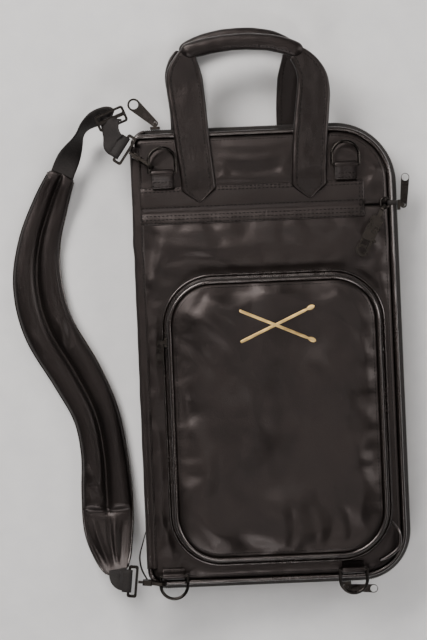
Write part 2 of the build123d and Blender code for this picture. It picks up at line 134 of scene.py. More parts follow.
def round_grid(rect, step):
    """A regular grid of points whose edge follows an outline with round corners."""
    x0, x1, y0, y1, radii = rect
    nx, ny = max(int((x1 - x0) / step), 2), max(int((y1 - y0) / step), 2)
    gx, gy = np.meshgrid(np.linspace(x0, x1, nx + 1), np.linspace(y0, y1, ny + 1))
    px, py = gx.copy(), gy.copy()
    for name, sx, sy in (("bl", -1, -1), ("br", 1, -1), ("tr", 1, 1), ("tl", -1, 1)):
        r = radii[name]
        cx = (x1 - r) if sx > 0 else (x0 + r)
        cy = (y1 - r) if sy > 0 else (y0 + r)
        a, b = (gx - cx) * sx / r, (gy - cy) * sy / r
        zone = (a > 0) & (b > 0)
        wa, wb = a * np.sqrt(1 - b * b / 2 * zone), b * np.sqrt(1 - a * a / 2 * zone)
        px = np.where(zone, cx + sx * r * wa, px)
        py = np.where(zone, cy + sy * r * wb, py)
    return px, py


# ---- mesh making ----------------------------------------------------------------------------
def make(name, verts, faces, material, smooth=True):
    """A mesh object from points in millimetres."""
    mesh = bpy.data.meshes.new(name)
    mesh.from_pydata((np.asarray(verts, float).reshape(-1, 3) * MM).tolist(), [], faces)
    mesh.validate()
    work = bmesh.new()
    work.from_mesh(mesh)
    bmesh.ops.recalc_face_normals(work, faces=work.faces)
    work.to_mesh(mesh)
    work.free()
    mesh.polygons.foreach_set("use_smooth", [smooth] * len(mesh.polygons))
    mesh.materials.append(material)
    obj = bpy.data.objects.new(name, mesh)
    bpy.context.scene.collection.objects.link(obj)
    return obj


def place(obj, body, slot, *nodes):
    """The piece rides on a body and stands in for CAD nodes. The slot argument is not used."""
    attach(obj, body)
    if nodes:
        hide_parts(*nodes)
    return obj


def points_of(obj):
    """A piece's points, in millimetres."""
    return np.array([v.co for v in obj.data.vertices]) / MM


def move_points(obj, co):
    obj.data.vertices.foreach_set("co", (co * MM).astype(np.float32).ravel())
    obj.data.update()


def loft(name, sections, material, ring=False):
    """A skin over closed cross-sections, (count, points, 3). ring joins the last to the first."""
    s = np.asarray(sections, float)
    m, k = s.shape[:2]
    faces = []
    for i in range(m if ring else m - 1):
        a, b = i * k, ((i + 1) % m) * k
        faces += [(a + j, a + (j + 1) % k, b + (j + 1) % k, b + j) for j in range(k)]
    if not ring:
        faces.append(tuple(range(k - 1, -1, -1)))
        faces.append(tuple(range((m - 1) * k, m * k)))
    return make(name, s.reshape(-1, 3), faces, material)


def frames(path, closed, up=(0, 0, 1)):
    """Tangent, side and up vectors along a path, kept level to up."""
    p = np.asarray(path, float)
    if closed:
        t = np.roll(p, -1, 0) - np.roll(p, 1, 0)
    else:
        t = np.gradient(p, axis=0)
    t /= np.maximum(np.linalg.norm(t, axis=1, keepdims=True), 1e-9)
    side = np.cross(t, np.asarray(up, float))
    side /= np.maximum(np.linalg.norm(side, axis=1, keepdims=True), 1e-9)
    return t, side, np.cross(side, t)


def tube(name, path, radius, material, closed=False, sides=12, up=(0, 0, 1)):
    """A round cord along a path; radius may be a list, one for each point."""
    p = np.asarray(path, float)
    _, side, high = frames(p, closed, up)
    a = np.arange(sides) * 2 * math.pi / sides
    r = np.broadcast_to(np.asarray(radius, float), (len(p),))[:, None, None]
    s = p[:, None] + r * (np.cos(a)[None, :, None] * side[:, None] + np.sin(a)[None, :, None] * high[:, None])
    return loft(name, s[:, ::-1], material, ring=closed)


def smooth_path(points, count):
    """A Catmull-Rom line through points, evenly spaced."""
    p = np.asarray(points, float)
    q = np.vstack((2 * p[0] - p[1], p, 2 * p[-1] - p[-2]))
    out = []
    for i in range(1, len(q) - 2):
        for t in np.linspace(0, 1, 24, endpoint=False):
            out.append(0.5 * (2 * q[i] + (q[i + 1] - q[i - 1]) * t
                              + (2 * q[i - 1] - 5 * q[i] + 4 * q[i + 1] - q[i + 2]) * t * t
                              + (3 * q[i] - 3 * q[i + 1] + q[i + 2] - q[i - 1]) * t ** 3))
    out.append(p[-1])
    return spaced(np.array(out), count)


def spaced(line, count, width=3):
    """A line's points, moved to even spacing; columns after the first three go along."""
    gone = np.concatenate(([0], np.cumsum(np.linalg.norm(np.diff(line[:, :width], axis=0), axis=1))))
    at = np.linspace(0, gone[-1], count)
    return np.stack([np.interp(at, gone, line[:, c]) for c in range(line.shape[1])], 1)


def ribbon(name, stations, profile, material):
    """A level strip through (x, y, z, half width) stations, with (across, height) points for its section."""
    s = np.asarray(stations, float)
    _, side, _ = frames(s[:, :3], False)
    out = s[:, None, :3] + side[:, None] * (profile[None, :, :1] * s[:, None, 3:4])
    out[..., 2] += profile[None, :, 1]
    return loft(name, out, material)


def flat_profile(thick, edge=0.0, count=14, rim=0.0):
    """A strap's section: flat, edges raised by rim over the last tenth, round corners."""
    across = np.linspace(-1, 1, count)
    lift = rim * np.exp(-((np.abs(across) - 0.9) / 0.07) ** 2)
    drop = edge * np.clip((np.abs(across) - 0.93) / 0.07, 0, 1) ** 2
    top = np.stack((across, thick / 2 + lift - drop), 1)
    bottom = np.stack((across[::-1], -thick / 2 + drop[::-1]), 1)
    return np.vstack((top, bottom))


def panel(name, px, py, top, bottom, material):
    """A closed padded sheet over a grid: its top and bottom heights are given at each point."""
    rows, cols = px.shape
    n = rows * cols
    verts = np.concatenate((np.stack((px, py, top), -1).reshape(-1, 3),
                            np.stack((px, py, np.broadcast_to(bottom, px.shape)), -1).reshape(-1, 3)))
    faces = []
    for r in range(rows - 1):
        for c in range(cols - 1):
            a = r * cols + c
            faces.append((a, a + 1, a + cols + 1, a + cols))
            faces.append((n + a, n + a + cols, n + a + cols + 1, n + a + 1))
    rim = [*range(cols), *(r * cols + cols - 1 for r in range(1, rows)),
           *((rows - 1) * cols + c for c in range(cols - 2, -1, -1)),
           *(r * cols for r in range(rows - 2, 0, -1))]
    faces += [(n + a, n + b, b, a) for a, b in zip(rim, rim[1:] + rim[:1])]
    return make(name, verts, faces, material)


def folds(x, y, lines):
    """The height of listed folds. Each is (points, height, width): a ridge, or a crease below zero."""
    total = np.zeros_like(x, float)
    for points, height, width in lines:
        p = smooth_path([(*q, 0) for q in points], 24)[:, :2]
        best = np.full(x.shape, 1e9)
        along = np.zeros_like(x, float)
        for i in range(len(p) - 1):
            a, d = p[i], p[i + 1] - p[i]
            t = np.clip(((x - a[0]) * d[0] + (y - a[1]) * d[1]) / (d @ d), 0, 1)
            dist = np.hypot(x - a[0] - t * d[0], y - a[1] - t * d[1])
            along = np.where(dist < best, (i + t) / (len(p) - 1), along)
            best = np.minimum(best, dist)
        total += height * np.exp(-(best / width) ** 2) * np.sin(np.pi * np.clip(along, 0.02, 0.98)) ** 0.6
    return total


def waves(x, y, size, height, seed, stretch=(1.0, 1.0)):
    """Soft unevenness of hide over its padding."""
    flat = [noise.noise(Vector((a * stretch[0] / size, b * stretch[1] / size, seed)))
            for a, b in zip(np.ravel(x), np.ravel(y))]
    return height * np.array(flat).reshape(np.shape(x))


def surface(obj):
    """A function that gives the height of a piece's top at x, y, all in millimetres."""
    tree = BVHTree.FromObject(obj, bpy.context.evaluated_depsgraph_get())

    def height(x, y, missing=None):
        hit = tree.ray_cast(Vector((x * MM, y * MM, 0.3)), Vector((0, 0, -1)))[0]
        return missing if hit is None else hit.z / MM
    return height


def capsule(a, b, radius, up):
    """One stitch: a short thread, thin at the ends where it goes into the hide."""
    d = b - a
    d = d / max(np.linalg.norm(d), 1e-9)
    side = np.cross(d, up)
    side /= max(np.linalg.norm(side), 1e-9)
    high = np.cross(side, d)
    verts = [a - high * radius * 0.6]
    for t, r in ((0.12, 0.8), (0.5, 1.0), (0.88, 0.8)):
        c = a + (b - a) * t
        verts += [c + (side * math.cos(q) + high * math.sin(q)) * radius * r
                  for q in np.arange(6) * math.pi / 3]
    verts.append(b - high * radius * 0.6)
    faces = [(0, 1 + (j + 1) % 6, 1 + j) for j in range(6)]
    for ring in (1, 7):
        faces += [(ring + j, ring + (j + 1) % 6, ring + 6 + (j + 1) % 6, ring + 6 + j) for j in range(6)]
    faces += [(19, 13 + j, 13 + (j + 1) % 6) for j in range(6)]
    return verts, faces


def stitches(name, lines, material, pitch=3.6, length=2.6, radius=0.36, up=(0, 0, 1)):
    """Rows of stitches along lines of 3-D points."""
    verts, faces = [], []
    for line in lines:
        line = np.asarray(line, float)
        total = np.linalg.norm(np.diff(line, axis=0), axis=1).sum()
        count = max(int(total / pitch), 2)
        ends = spaced(line, 2 * count + 1)
        for i in range(count):
            a, b = ends[2 * i], ends[2 * i + 2]
            middle = (a + b) / 2
            half = (b - a) * (length / pitch) / 2
            v, f = capsule(middle - half, middle + half, radius, np.asarray(up, float))
            faces += [tuple(q + len(verts) for q in face) for face in f]
            verts += v
    return make(name, verts, faces, material)


def sew(name, lines, body, slot, **size):
    return place(stitches(name, lines, THREAD, **size), body, slot)


def on(height, points, lift=0.15, missing=None):
    """Points laid on a surface, dropping the ones that miss it."""
    out = []
    for x, y in points:
        z = height(x, y, missing)
        if z is not None:
            out.append((x, y, z + lift))
    return out


def line2(a, b, count):
    """Evenly spaced points on a straight line."""
    return [tuple(np.array(a) + (np.array(b) - np.array(a)) * t) for t in np.linspace(0, 1, count)]


def teeth(name, path, normals, z, way, keep):
    """A row of coil teeth along a path, each a small bent bar."""
    gone = np.concatenate(([0], np.cumsum(np.linalg.norm(np.diff(path, axis=0), axis=1))))
    at = np.arange(0, gone[-1], TEETH_PITCH)
    x, y = np.interp(at, gone, path[:, 0]), np.interp(at, gone, path[:, 1])
    nx, ny = np.interp(at, gone, normals[:, 0]), np.interp(at, gone, normals[:, 1])
    verts, faces = [], []
    for px, py, ax, ay in zip(x, y, nx, ny):
        if not keep(px, py):
            continue
        out, along = np.array((ax, ay, 0.0)), np.array((-ay, ax, 0.0))
        base = len(verts)
        for d, dz, w in ((-1.0, 0.9, 0.42), (0.2, 1.0, 0.55), (0.9, 0.65, 0.6), (0.8, 0.1, 0.5),
                         (-1.0, 0.1, 0.4)):
            c = np.array((px, py, z)) + out * d + np.array((0, 0, way * dz * 1.35))
            verts += [c - along * w, c + along * w]
        ring = [(q, q + 1, (q + 3) % 10, (q + 2) % 10) for q in (0, 2, 4, 6, 8)]
        ring += [(0, 2, 4, 6, 8), (9, 7, 5, 3, 1)]
        faces += [tuple(base + q for q in f) for f in ring]
    return make(name, verts, faces, COIL)


# ---- materials ------------------------------------------------------------------------------
def new_material(name, colour, roughness, **fixed):
    """A principled material; constant numbers go on the shader's own sockets."""
    mat = bpy.data.materials.new(name)
    mat.use_nodes = True
    tree = mat.node_tree
    shader = tree.nodes["Principled BSDF"]
    shader.inputs["Base Color"].default_value = (*colour, 1)
    shader.inputs["Roughness"].default_value = roughness
    for key, value in fixed.items():
        shader.inputs[key.replace("_", " ")].default_value = value
    return mat, tree, shader


def node(tree, kind, inputs=None, **props):
    """A new shader node; an input is a socket to link or a number."""
    n = tree.nodes.new(kind)
    for key, value in props.items():
        setattr(n, key, value)
    for key, value in (inputs or {}).items():
        if isinstance(value, bpy.types.NodeSocket):
            tree.links.new(value, n.inputs[key])
        else:
            n.inputs[key].default_value = value
    return n


def place_coordinates(tree, scale=(1, 1, 1), turn=0.0):
    """The place on the piece, in metres, scaled and turned."""
    coordinates = node(tree, "ShaderNodeTexCoord")
    return node(tree, "ShaderNodeMapping", {"Vector": coordinates.outputs["Object"], "Scale": scale,
                                            "Rotation": (0, 0, turn)}).outputs["Vector"]


def ramp(tree, fac, stops):
    """A colour for a number, between (position, colour) stops."""
    r = node(tree, "ShaderNodeValToRGB", {"Fac": fac})
    elements = r.color_ramp.elements
    while len(elements) < len(stops):
        elements.new(0.5)
    for e, (at, colour) in zip(elements, stops):
        e.position = at
        e.color = (*colour, 1)
    return r.outputs["Color"]


def span(tree, value, low, high, a=0.0, b=1.0):
    """Values from a to b, spread from low to high."""
    return node(tree, "ShaderNodeMapRange", {"Value": value, "From Min": a, "From Max": b, "To Min": low,
                                             "To Max": high}).outputs["Result"]


def leather(name, dark, light, rough, grain=1.0, cell=900.0, **fixed):
    """Hide with a pebbled grain, painted shade in the grain's grooves, fine wrinkles and worn, slightly browner high
    spots.
    """
    mat, tree, shader = new_material(name, dark, rough[0], **fixed)
    at = place_coordinates(tree)
    pebbles = node(tree, "ShaderNodeTexVoronoi", {"Vector": at, "Scale": cell, "Randomness": 1.0},
                   feature="DISTANCE_TO_EDGE").outputs["Distance"]
    wrinkle = node(tree, "ShaderNodeTexNoise", {"Vector": at, "Scale": 260.0, "Detail": 6.0, "Roughness": 0.62,
                                                "Distortion": 0.6}).outputs["Fac"]
    patch = node(tree, "ShaderNodeTexNoise", {"Vector": at, "Scale": 16.0, "Detail": 4.0,
                                              "Roughness": 0.55}).outputs["Fac"]
    colour = ramp(tree, patch, ((0.34, dark), (0.72, light)))
    # painted shade: the colour is darkened in the grain's grooves, where the bump sits low
    groove_shade = node(tree, "ShaderNodeMix", {"Factor": span(tree, pebbles, 0.55, 0.0, 0.0, 0.12), 6: colour,
                                        7: (*(0.35 * c for c in dark), 1)}, data_type="RGBA")
    tree.links.new(groove_shade.outputs[2], shader.inputs["Base Color"])
    uneven = node(tree, "ShaderNodeMath", {0: patch, 1: wrinkle, 2: 0.12}, operation="MULTIPLY_ADD")
    tree.links.new(span(tree, uneven.outputs[0], rough[0], rough[1], 0.2, 0.62), shader.inputs["Roughness"])
    soft = span(tree, pebbles, 0.0, 1.0, 0.0, 0.28)
    bump = node(tree, "ShaderNodeBump", {"Height": soft, "Strength": 0.22 * grain, "Distance": 0.0003})
    fine = node(tree, "ShaderNodeBump", {"Height": wrinkle, "Strength": 0.3 * grain, "Distance": 0.0007,
                                         "Normal": bump.outputs["Normal"]})
    tree.links.new(fine.outputs["Normal"], shader.inputs["Normal"])
    return mat


def weave(name, dark, light, rough, pitch, turn=0.0, strength=0.6, rib=1.0, **fixed):
    """Woven cloth: two crossed sets of yarns, with uneven dye and a little fuzz."""
    mat, tree, shader = new_material(name, dark, rough, **fixed)
    at = place_coordinates(tree, turn=turn)
    parts = node(tree, "ShaderNodeSeparateXYZ", {"Vector": at})
    yarns = []
    for axis, scale in (("X", 1.0), ("Y", rib)):
        turns = node(tree, "ShaderNodeMath", {0: parts.outputs[axis], 1: 2 * math.pi * scale / pitch},
                     operation="MULTIPLY")
        yarns.append(node(tree, "ShaderNodeMath", {0: turns.outputs[0]}, operation="SINE").outputs[0])
    cross = node(tree, "ShaderNodeMath", {0: yarns[0], 1: yarns[1]}, operation="MULTIPLY").outputs[0]
    fuzz = node(tree, "ShaderNodeTexNoise", {"Vector": at, "Scale": 900.0, "Detail": 3.0}).outputs["Fac"]
    patch = node(tree, "ShaderNodeTexNoise", {"Vector": at, "Scale": 30.0, "Detail": 4.0}).outputs["Fac"]
    both = node(tree, "ShaderNodeMath", {0: cross, 1: 0.25, 2: fuzz}, operation="MULTIPLY_ADD").outputs[0]
    mixed = node(tree, "ShaderNodeMath", {0: patch, 1: 0.6, 2: both}, operation="MULTIPLY_ADD").outputs[0]
    tree.links.new(ramp(tree, mixed, ((0.45, dark), (1.0, light))), shader.inputs["Base Color"])
    bump = node(tree, "ShaderNodeBump", {"Height": both, "Strength": strength, "Distance": 0.0003})
    tree.links.new(bump.outputs["Normal"], shader.inputs["Normal"])
    return mat


def metal(name, colour, rough, scratch=0.25, **fixed):
    """Plated metal with cast unevenness, rubbed spots and hairline scratches."""
    mat, tree, shader = new_material(name, colour, rough[0], Metallic=1.0, **fixed)
    at = place_coordinates(tree)
    patch = node(tree, "ShaderNodeTexNoise", {"Vector": at, "Scale": 120.0, "Detail": 5.0}).outputs["Fac"]
    lines = place_coordinates(tree, (900, 60, 300), 0.6)
    hair = node(tree, "ShaderNodeTexNoise", {"Vector": lines, "Scale": 3.0, "Detail": 3.0}).outputs["Fac"]
    tree.links.new(ramp(tree, patch, ((0.35, colour), (0.7, tuple(min(1.0, 1.7 * c) for c in colour)))),
                   shader.inputs["Base Color"])
    tree.links.new(span(tree, patch, rough[0], rough[1], 0.35, 0.7), shader.inputs["Roughness"])
    bump = node(tree, "ShaderNodeBump", {"Height": hair, "Strength": scratch, "Distance": 0.0001})
    tree.links.new(bump.outputs["Normal"], shader.inputs["Normal"])
    return mat


WARM = (1.0, 0.84, 0.82, 1.0)
HIDE = leather("hide", (0.0034, 0.0027, 0.0024), (0.0085, 0.0064, 0.0055), (0.35, 0.52),
               Specular_IOR_Level=0.42, Specular_Tint=WARM, Coat_Weight=0.1, Coat_Roughness=0.3)
# a darker copy of the hide for the spine, gussets, ring tabs, handles and shoulder pad: painted shade
HIDE_SHADED = leather("hide_folded", (0.0026, 0.002, 0.0018), (0.0068, 0.0051, 0.0044), (0.3, 0.44), grain=1.2,
                      Specular_IOR_Level=0.34, Specular_Tint=WARM, Coat_Weight=0.12, Coat_Roughness=0.28)
CORD_HIDE = leather("hide_over_cord", (0.0042, 0.0034, 0.003), (0.012, 0.0092, 0.008), (0.2, 0.32), grain=0.35,
                    cell=1300.0, Specular_IOR_Level=0.6, Specular_Tint=WARM, Coat_Weight=0.7,
                    Coat_Roughness=0.16)
TAPE = weave("zip_tape_cloth", (0.0055, 0.0043, 0.004), (0.016, 0.0118, 0.0105), 0.82, 0.0011, turn=0.785,
             Specular_IOR_Level=0.25)
COIL = weave("zip_coil_nylon", (0.006, 0.005, 0.0046), (0.018, 0.0145, 0.013), 0.4, 0.0008, strength=0.2)
WEBBING = weave("strap_webbing_weave", (0.005, 0.0042, 0.0041), (0.019, 0.0155, 0.0148), 0.7, 0.0016, rib=0.6,
                turn=0.9, strength=0.9, Specular_IOR_Level=0.3)
LINING = weave("lining_cloth", (0.011, 0.0105, 0.0115), (0.028, 0.027, 0.029), 0.72, 0.0009, strength=0.5,
               Specular_IOR_Level=0.3)
THREAD = weave("stitch_thread", (0.002, 0.0016, 0.0015), (0.006, 0.005, 0.0046), 0.7, 0.0004, strength=0.4,
               Specular_IOR_Level=0.2)
METAL = metal("black_nickel", (0.022, 0.0195, 0.018), (0.22, 0.4))
WORN_METAL = metal("black_nickel_worn", (0.032, 0.028, 0.025), (0.26, 0.46), scratch=0.4)
GOLD = metal("gold_foil", (0.62, 0.42, 0.17), (0.36, 0.6), scratch=0.5)


def paint(names, material):
    """A carried-over CAD node keeps its mesh and takes a worked material."""
    for name in names:
        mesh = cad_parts[name].data
        mesh.materials.clear()
        mesh.materials.append(material)


paint(["d_ring_top_left", "d_ring_top_right", "d_ring_bottom_left", "d_ring_bottom_right",
       "strap_swivel_top", "strap_swivel_bottom", "strap_adjuster", "key_clip_ring",
       "zip_puller_top", "zip_puller_side", "zip_puller_bottom", "pocket_puller"], METAL)
paint(["zip_slider_top", "zip_slider_side", "zip_slider_bottom", "pocket_slider",
       "strap_hook_top", "strap_hook_bottom", "hook_gate_top", "hook_gate_bottom",
       "key_clip_body", "key_clip_gate"], WORN_METAL)
paint(["emblem"], GOLD)


# ---- cloth ----------------------------------------------------------------------------------
CLOTH_FRAMES = 20
CLOTH_STIFF = 15.0


def inflate(obj, pins, pressure, grow, cap):
    """Lets a skin fill out and pucker between its pinned seams, then keeps the shape."""
    scene = bpy.context.scene
    group = obj.vertex_groups.new(name="seams")
    group.add(pins, 1.0, "REPLACE")
    before = np.array([v.co for v in obj.data.vertices])
    cloth = obj.modifiers.new("cloth", "CLOTH")
    s = cloth.settings
    s.quality = 6
    s.mass = 0.25
    s.tension_stiffness = s.compression_stiffness = CLOTH_STIFF
    s.shear_stiffness = CLOTH_STIFF / 2
    s.bending_stiffness = 2.0
    s.vertex_group_mass = "seams"
    s.use_pressure = True
    s.uniform_pressure_force = pressure
    s.shrink_min = -grow
    s.effector_weights.gravity = 0.0
    cloth.collision_settings.use_collision = False
    cloth.point_cache.frame_start = 1
    cloth.point_cache.frame_end = CLOTH_FRAMES + 1
    for f in range(1, CLOTH_FRAMES + 1):
        scene.frame_set(f)
    shape = obj.evaluated_get(bpy.context.evaluated_depsgraph_get())
    after = np.array([v.co for v in shape.data.vertices])
    move = after - before
    size = np.linalg.norm(move, axis=1, keepdims=True)
    limit = cap * MM
    move *= np.where(size > 1e-9, limit * np.tanh(size / limit) / np.maximum(size, 1e-9), 1.0)
    obj.modifiers.remove(cloth)
    obj.data.vertices.foreach_set("co", (before + move).astype(np.float32).ravel())
    obj.data.update()
    scene.frame_set(1)


def refine(obj):
    """One level of subdivision, applied."""
    bpy.context.view_layer.update()
    obj.modifiers.new("refine", "SUBSURF").levels = 1
    shape = obj.evaluated_get(bpy.context.evaluated_depsgraph_get())
    mesh = bpy.data.meshes.new_from_object(shape)
    obj.modifiers.clear()
    obj.data = mesh
    mesh.polygons.foreach_set("use_smooth", [True] * len(mesh.polygons))
    return obj


def lift(obj, change, above):
    """Raises the points of a piece's upper side by change(x, y), in millimetres."""
    co = points_of(obj)
    co[:, 2] += change(co[:, 0], co[:, 1]) * (co[:, 2] > above)
    move_points(obj, co)


def puffed(name, rect, base, edge, top, bottom, step, pressure, grow, cap, roll=7.0, held=()):
    """A padded panel: its rim is tucked to edge height, its middle stands at top, and it is let fill out."""
    px, py = round_grid(rect, step)
    d = np.maximum(edge_distance(px, py, rect), 0)
    rise = np.sqrt(1 - (1 - np.clip(d / roll, 0, 1)) ** 2)
    z = edge + (top - edge) * rise + base(px, py) * np.clip(d / 15, 0, 1)
    obj = panel(name, px, py, z, bottom, HIDE)
    count = px.size
    pins = list(range(count, 2 * count)) + [int(i) for i in np.flatnonzero(np.ravel(d) < 1.5)]
    for test in held:
        pins += [int(i) for i in np.flatnonzero(np.ravel(test(px, py)))]
    inflate(obj, sorted(set(pins)), pressure, grow, cap)
    return refine(obj)


# ==== rear case ==============================================================================
def run_of(points, keep):
    """The longest unbroken run of a closed outline where keep(x, y) holds, as point numbers."""
    inside = np.array([keep(x, y) for x, y in points])
    start = int(np.flatnonzero(inside & ~np.roll(inside, 1))[0])
    order = [(start + i) % len(points) for i in range(len(points))]
    return [i for i in order if inside[i]]


def wall(name, rows, material, keep=None, *, thick):
    """An upright skin through (rect, height) rows, as thick as given, round an outline or part of it."""
    loops = [outline(rect) for rect, _ in rows]
    heights = [z for _, z in rows]
    order = list(range(len(loops[0]))) if keep is None else run_of(loops[0], keep)
    out_of = normals_of(loops[0])
    sections = []
    for i in order:
        outer = [(*loop[i], z) for loop, z in zip(loops, heights)]
        inner = [(*(loop[i] - out_of[i] * thick), z) for loop, z in zip(loops[::-1], heights[::-1])]
        sections.append(outer + inner)
    return loft(name, sections, material, ring=keep is None)


def past_spine(x, y):
    return x > SPINE_X


def at_spine(x, y):
    return x < SPINE_X - 0.3


def piping(name, rect, z, sway, radius, swell, size, seed):
    """Hide round a cord, along a whole outline and a little uneven."""
    line = outline(rect)
    uneven = np.array([noise.noise(Vector((x / size, y / size, seed))) for x, y in line])
    path = np.column_stack((line, z + sway * uneven))
    return tube(name, path, radius + swell * uneven, CORD_HIDE, closed=True)


def zip_half(side, body, rows, teeth_z, way, seam_inset, seam_z):
    """Half of the main zip: its tape, its row of teeth and the seam that holds the tape."""
    rects = [(case_rect(inset, 0.0), z) for inset, z in rows]
    tape = wall(f"{side}_tape", rects, TAPE, past_spine, thick=1.1)
    place(tape, body, "zip_tape", f"{side}_zip_tape")
    line = outline(case_rect(0.6, 0.0))
    coil = teeth(f"{side}_coil_teeth", line, normals_of(line), teeth_z, way, keep=past_spine)
    place(coil, body, "zip_coil", f"{side}_zip_coil")
    seam = [(*p, seam_z) for p in outline(case_rect(seam_inset, 0.0)) if past_spine(*p)]
    sew(f"{side}_tape_stitches", [seam], body, "zip_tape")


rear = puffed("rear_skin", case_rect(PANEL_INSET), lambda x, y: waves(x, y, 60, 0.4, 3), 4.6, 5.0, 0.1,
              step=7.0, pressure=0.0, grow=0.0, cap=0.1)
place(rear, "rear_case", "leather", "rear_panel", "rear_band")
place(piping("rear_piping_cord", case_rect(PIPING_INSET), 4.3, 0.2, PIPING_R, 0.12, 30, 5),
      "rear_case", "piping", "rear_piping")
zip_half("rear", "rear_case", ((5.5, 7.2), (4.6, 10.4), (2.6, 15.0), (0.8, 18.6), (0.3, 20.2)), 20.3, 1,
         4.7, 9.2)

spine_rows = [(case_rect(i, i), z) for z, i in ((7.2, 1.6), (11, 0.9), (17, 0.2), (23, -0.1), (29, 0.1),
                                                (35, 0.8), (38.6, 1.6))]
spine = wall("spine_skin", spine_rows, HIDE_SHADED, at_spine, thick=2.6)
co = points_of(spine)
bend = np.where(co[:, 0] < -131, waves(co[:, 1], co[:, 2], 26, 0.9, 11, (1.0, 1.8)), 0)
co[:, 0] -= np.abs(bend)
move_points(spine, co)
place(spine, "rear_case", "leather", "spine_panel")
spine_seams = [[(-CASE_X - 0.2, y, z) for y in np.linspace(-210, 214, 200)] for z in (10.6, 35.4)]
sew("spine_stitches", spine_seams, "rear_case", "leather", up=(-1, 0, 0))


def cloth_panel(name, rect, z, thick, swell, body, node_name, step):
    """A lining: one sheet of cloth, held flat by its edge."""
    px, py = round_grid(rect, step)
    top = z + thick + swell(px, py)
    obj = refine(panel(name, px, py, top, top - thick, LINING))
    place(obj, body, "lining", node_name)
    return obj


SLEEVE = (-112.0, 110.0, -200.0, 100.0, dict(bl=1.0, br=1.0, tr=1.0, tl=1.0))
SLEEVE_Z = 17.0
CHANNEL = 55.0
SEAM_X = [-111 + CHANNEL * i for i in range(5)]


def channel_swell(x, y):
    """Each stick channel stands up between its two seams."""
    across = np.abs(np.sin(math.pi * (x - SEAM_X[0]) / CHANNEL))
    return 1.6 * across ** 0.6 * np.clip((y + 200) / 20, 0, 1) + waves(x, y, 30, 0.5, 21)


sleeve = cloth_panel("stick_sleeve_cloth", SLEEVE, SLEEVE_Z, 1.0, channel_swell, "rear_case",
                     "stick_sleeve_panel", step=4.0)
sleeve_top = surface(sleeve)
sleeve_lines = [on(sleeve_top, line2((x, -197), (x, 98), 80)) for x in SEAM_X]
sleeve_lines += [on(sleeve_top, line2((-110, y), (108, y), 60)) for y in (94, 97.5, -197.5)]
sew("stick_sleeve_stitches", sleeve_lines, "rear_case", "lining")
for i, x in enumerate(SEAM_X):
    ys = np.linspace(-198, 99, 60)
    sway = np.array([noise.noise(Vector((y / 40, i, 2))) for y in ys])
    shape = ((-1, 6.4, 0), (1, 6.4, 0), (1, 11.5, 1.6), (1, 16.8, 0), (-1, 16.8, 0), (-1, 11.5, 1.6))
    sections = [[(x + s * 0.5 + w * k, y, z) for s, z, k in shape] for y, w in zip(ys, sway)]
    place(loft(f"stick_sleeve_wall_{i}", sections, LINING), "rear_case", "lining", "stick_sleeve_seams")
hem = [[(x, -199.4, 6.4), (x, -198.2, 6.4), (x, -198.0, 11.5), (x, -198.2, 16.8), (x, -199.4, 16.8),
        (x, -199.7 - 0.4 * math.sin(x / 7), 11.5)] for x in np.linspace(-111.5, 109.5, 80)]
place(loft("stick_sleeve_hem", hem, LINING), "rear_case", "lining")
cloth_panel("rear_lining_cloth", case_rect(LINING_INSET), 5.05, 0.9,
            lambda x, y: 0.25 + waves(x, y, 45, 0.25, 8), "rear_case", "rear_lining", step=8.0)

# ==== front cover ============================================================================
COVER = case_rect(PANEL_INSET)
LOWER = cut_rect(COVER, -300, YOKE_Y)
UPPER = cut_rect(COVER, YOKE_Y + 0.3, 300)
LOWER_FOLDS = (
    (((-120, 118), (-60, 108), (10, 112), (60, 102)), 1.3, 7), (((-110, 96), (-70, 100), (-30, 92)), -0.9, 4),
    (((-124, 60), (-112, 90), (-104, 122)), 1.2, 5), (((-122, -20), (-113, 10), (-110, 50)), 1.1, 5),
    (((-124, -60), (-114, -85), (-112, -130)), 1.2, 5), (((-125, -150), (-114, -165), (-108, -200)), 1.4, 5),
    (((-128, -188), (-118, -180), (-111, -160)), -1.0, 2.5), (((-60, 96), (0, 86), (70, 92)), 0.9, 5),
    (((84, 128), (96, 112), (118, 104)), 1.3, 6), (((112, 80), (117, 40), (116, -20)), 0.9, 4),
    (((116, -60), (114, -120), (112, -170)), 1.0, 4), (((96, -190), (108, -186), (116, -168)), 1.5, 4),
    (((-80, -212), (-20, -209), (40, -213)), 0.8, 4), (((104, 130), (112, 122), (120, 122)), -1.1, 3))
UPPER_FOLDS = (
    (((-46, 200), (-10, 196), (26, 201)), 1.5, 5), (((-44, 187), (-8, 184), (26, 189)), -1.0, 3.5),
    (((-44, 211), (-6, 208), (30, 212)), 0.9, 4), (((68, 206), (90, 200), (112, 178)), 1.3, 6),
    (((64, 190), (70, 204), (84, 214)), -0.8, 3.5), (((-118, 180), (-112, 196), (-100, 208)), 1.1, 4),
    (((-48, 174), (-40, 184), (-46, 196)), 1.0, 4), (((24, 174), (18, 186), (24, 198)), 0.9, 4),
    (((98, 160), (108, 172), (114, 190)), 0.9, 4))


def cover_shape(lines, seed):
    """A crown over the padding, with folds and unevenness."""
    def height(x, y):
        crown = 1.8 * np.clip(1 - (x / 128) ** 2, 0, 1) ** 0.5 - 0.6
        return crown + waves(x, y, 46, 1.5, seed) + waves(x, y, 18, 0.4, seed + 1) + 1.2 * folds(x, y, lines)
    return height


def under_pocket(x, y):
    return edge_distance(x, y, pocket_rect(-8)) > 0


def under_band(x, y):
    return (y > BAND_Y[0] + 3) & (x < 102)


def cover_base(x, y):
    return 0.6 * np.clip(1 - (x / 128) ** 2, 0, 1)


COVER_HEIGHTS = (44.4, TOP_Z, COVER_Z + 0.2)
lower = puffed("lower_panel_skin", LOWER, cover_base, *COVER_HEIGHTS, step=5.0, pressure=2.2, grow=0.014,
               cap=2.4, roll=6.0, held=(under_pocket, under_band))
upper = puffed("yoke_skin", UPPER, cover_base, *COVER_HEIGHTS, step=4.0, pressure=2.2, grow=0.016,
               cap=2.4, roll=6.0, held=(under_band,))


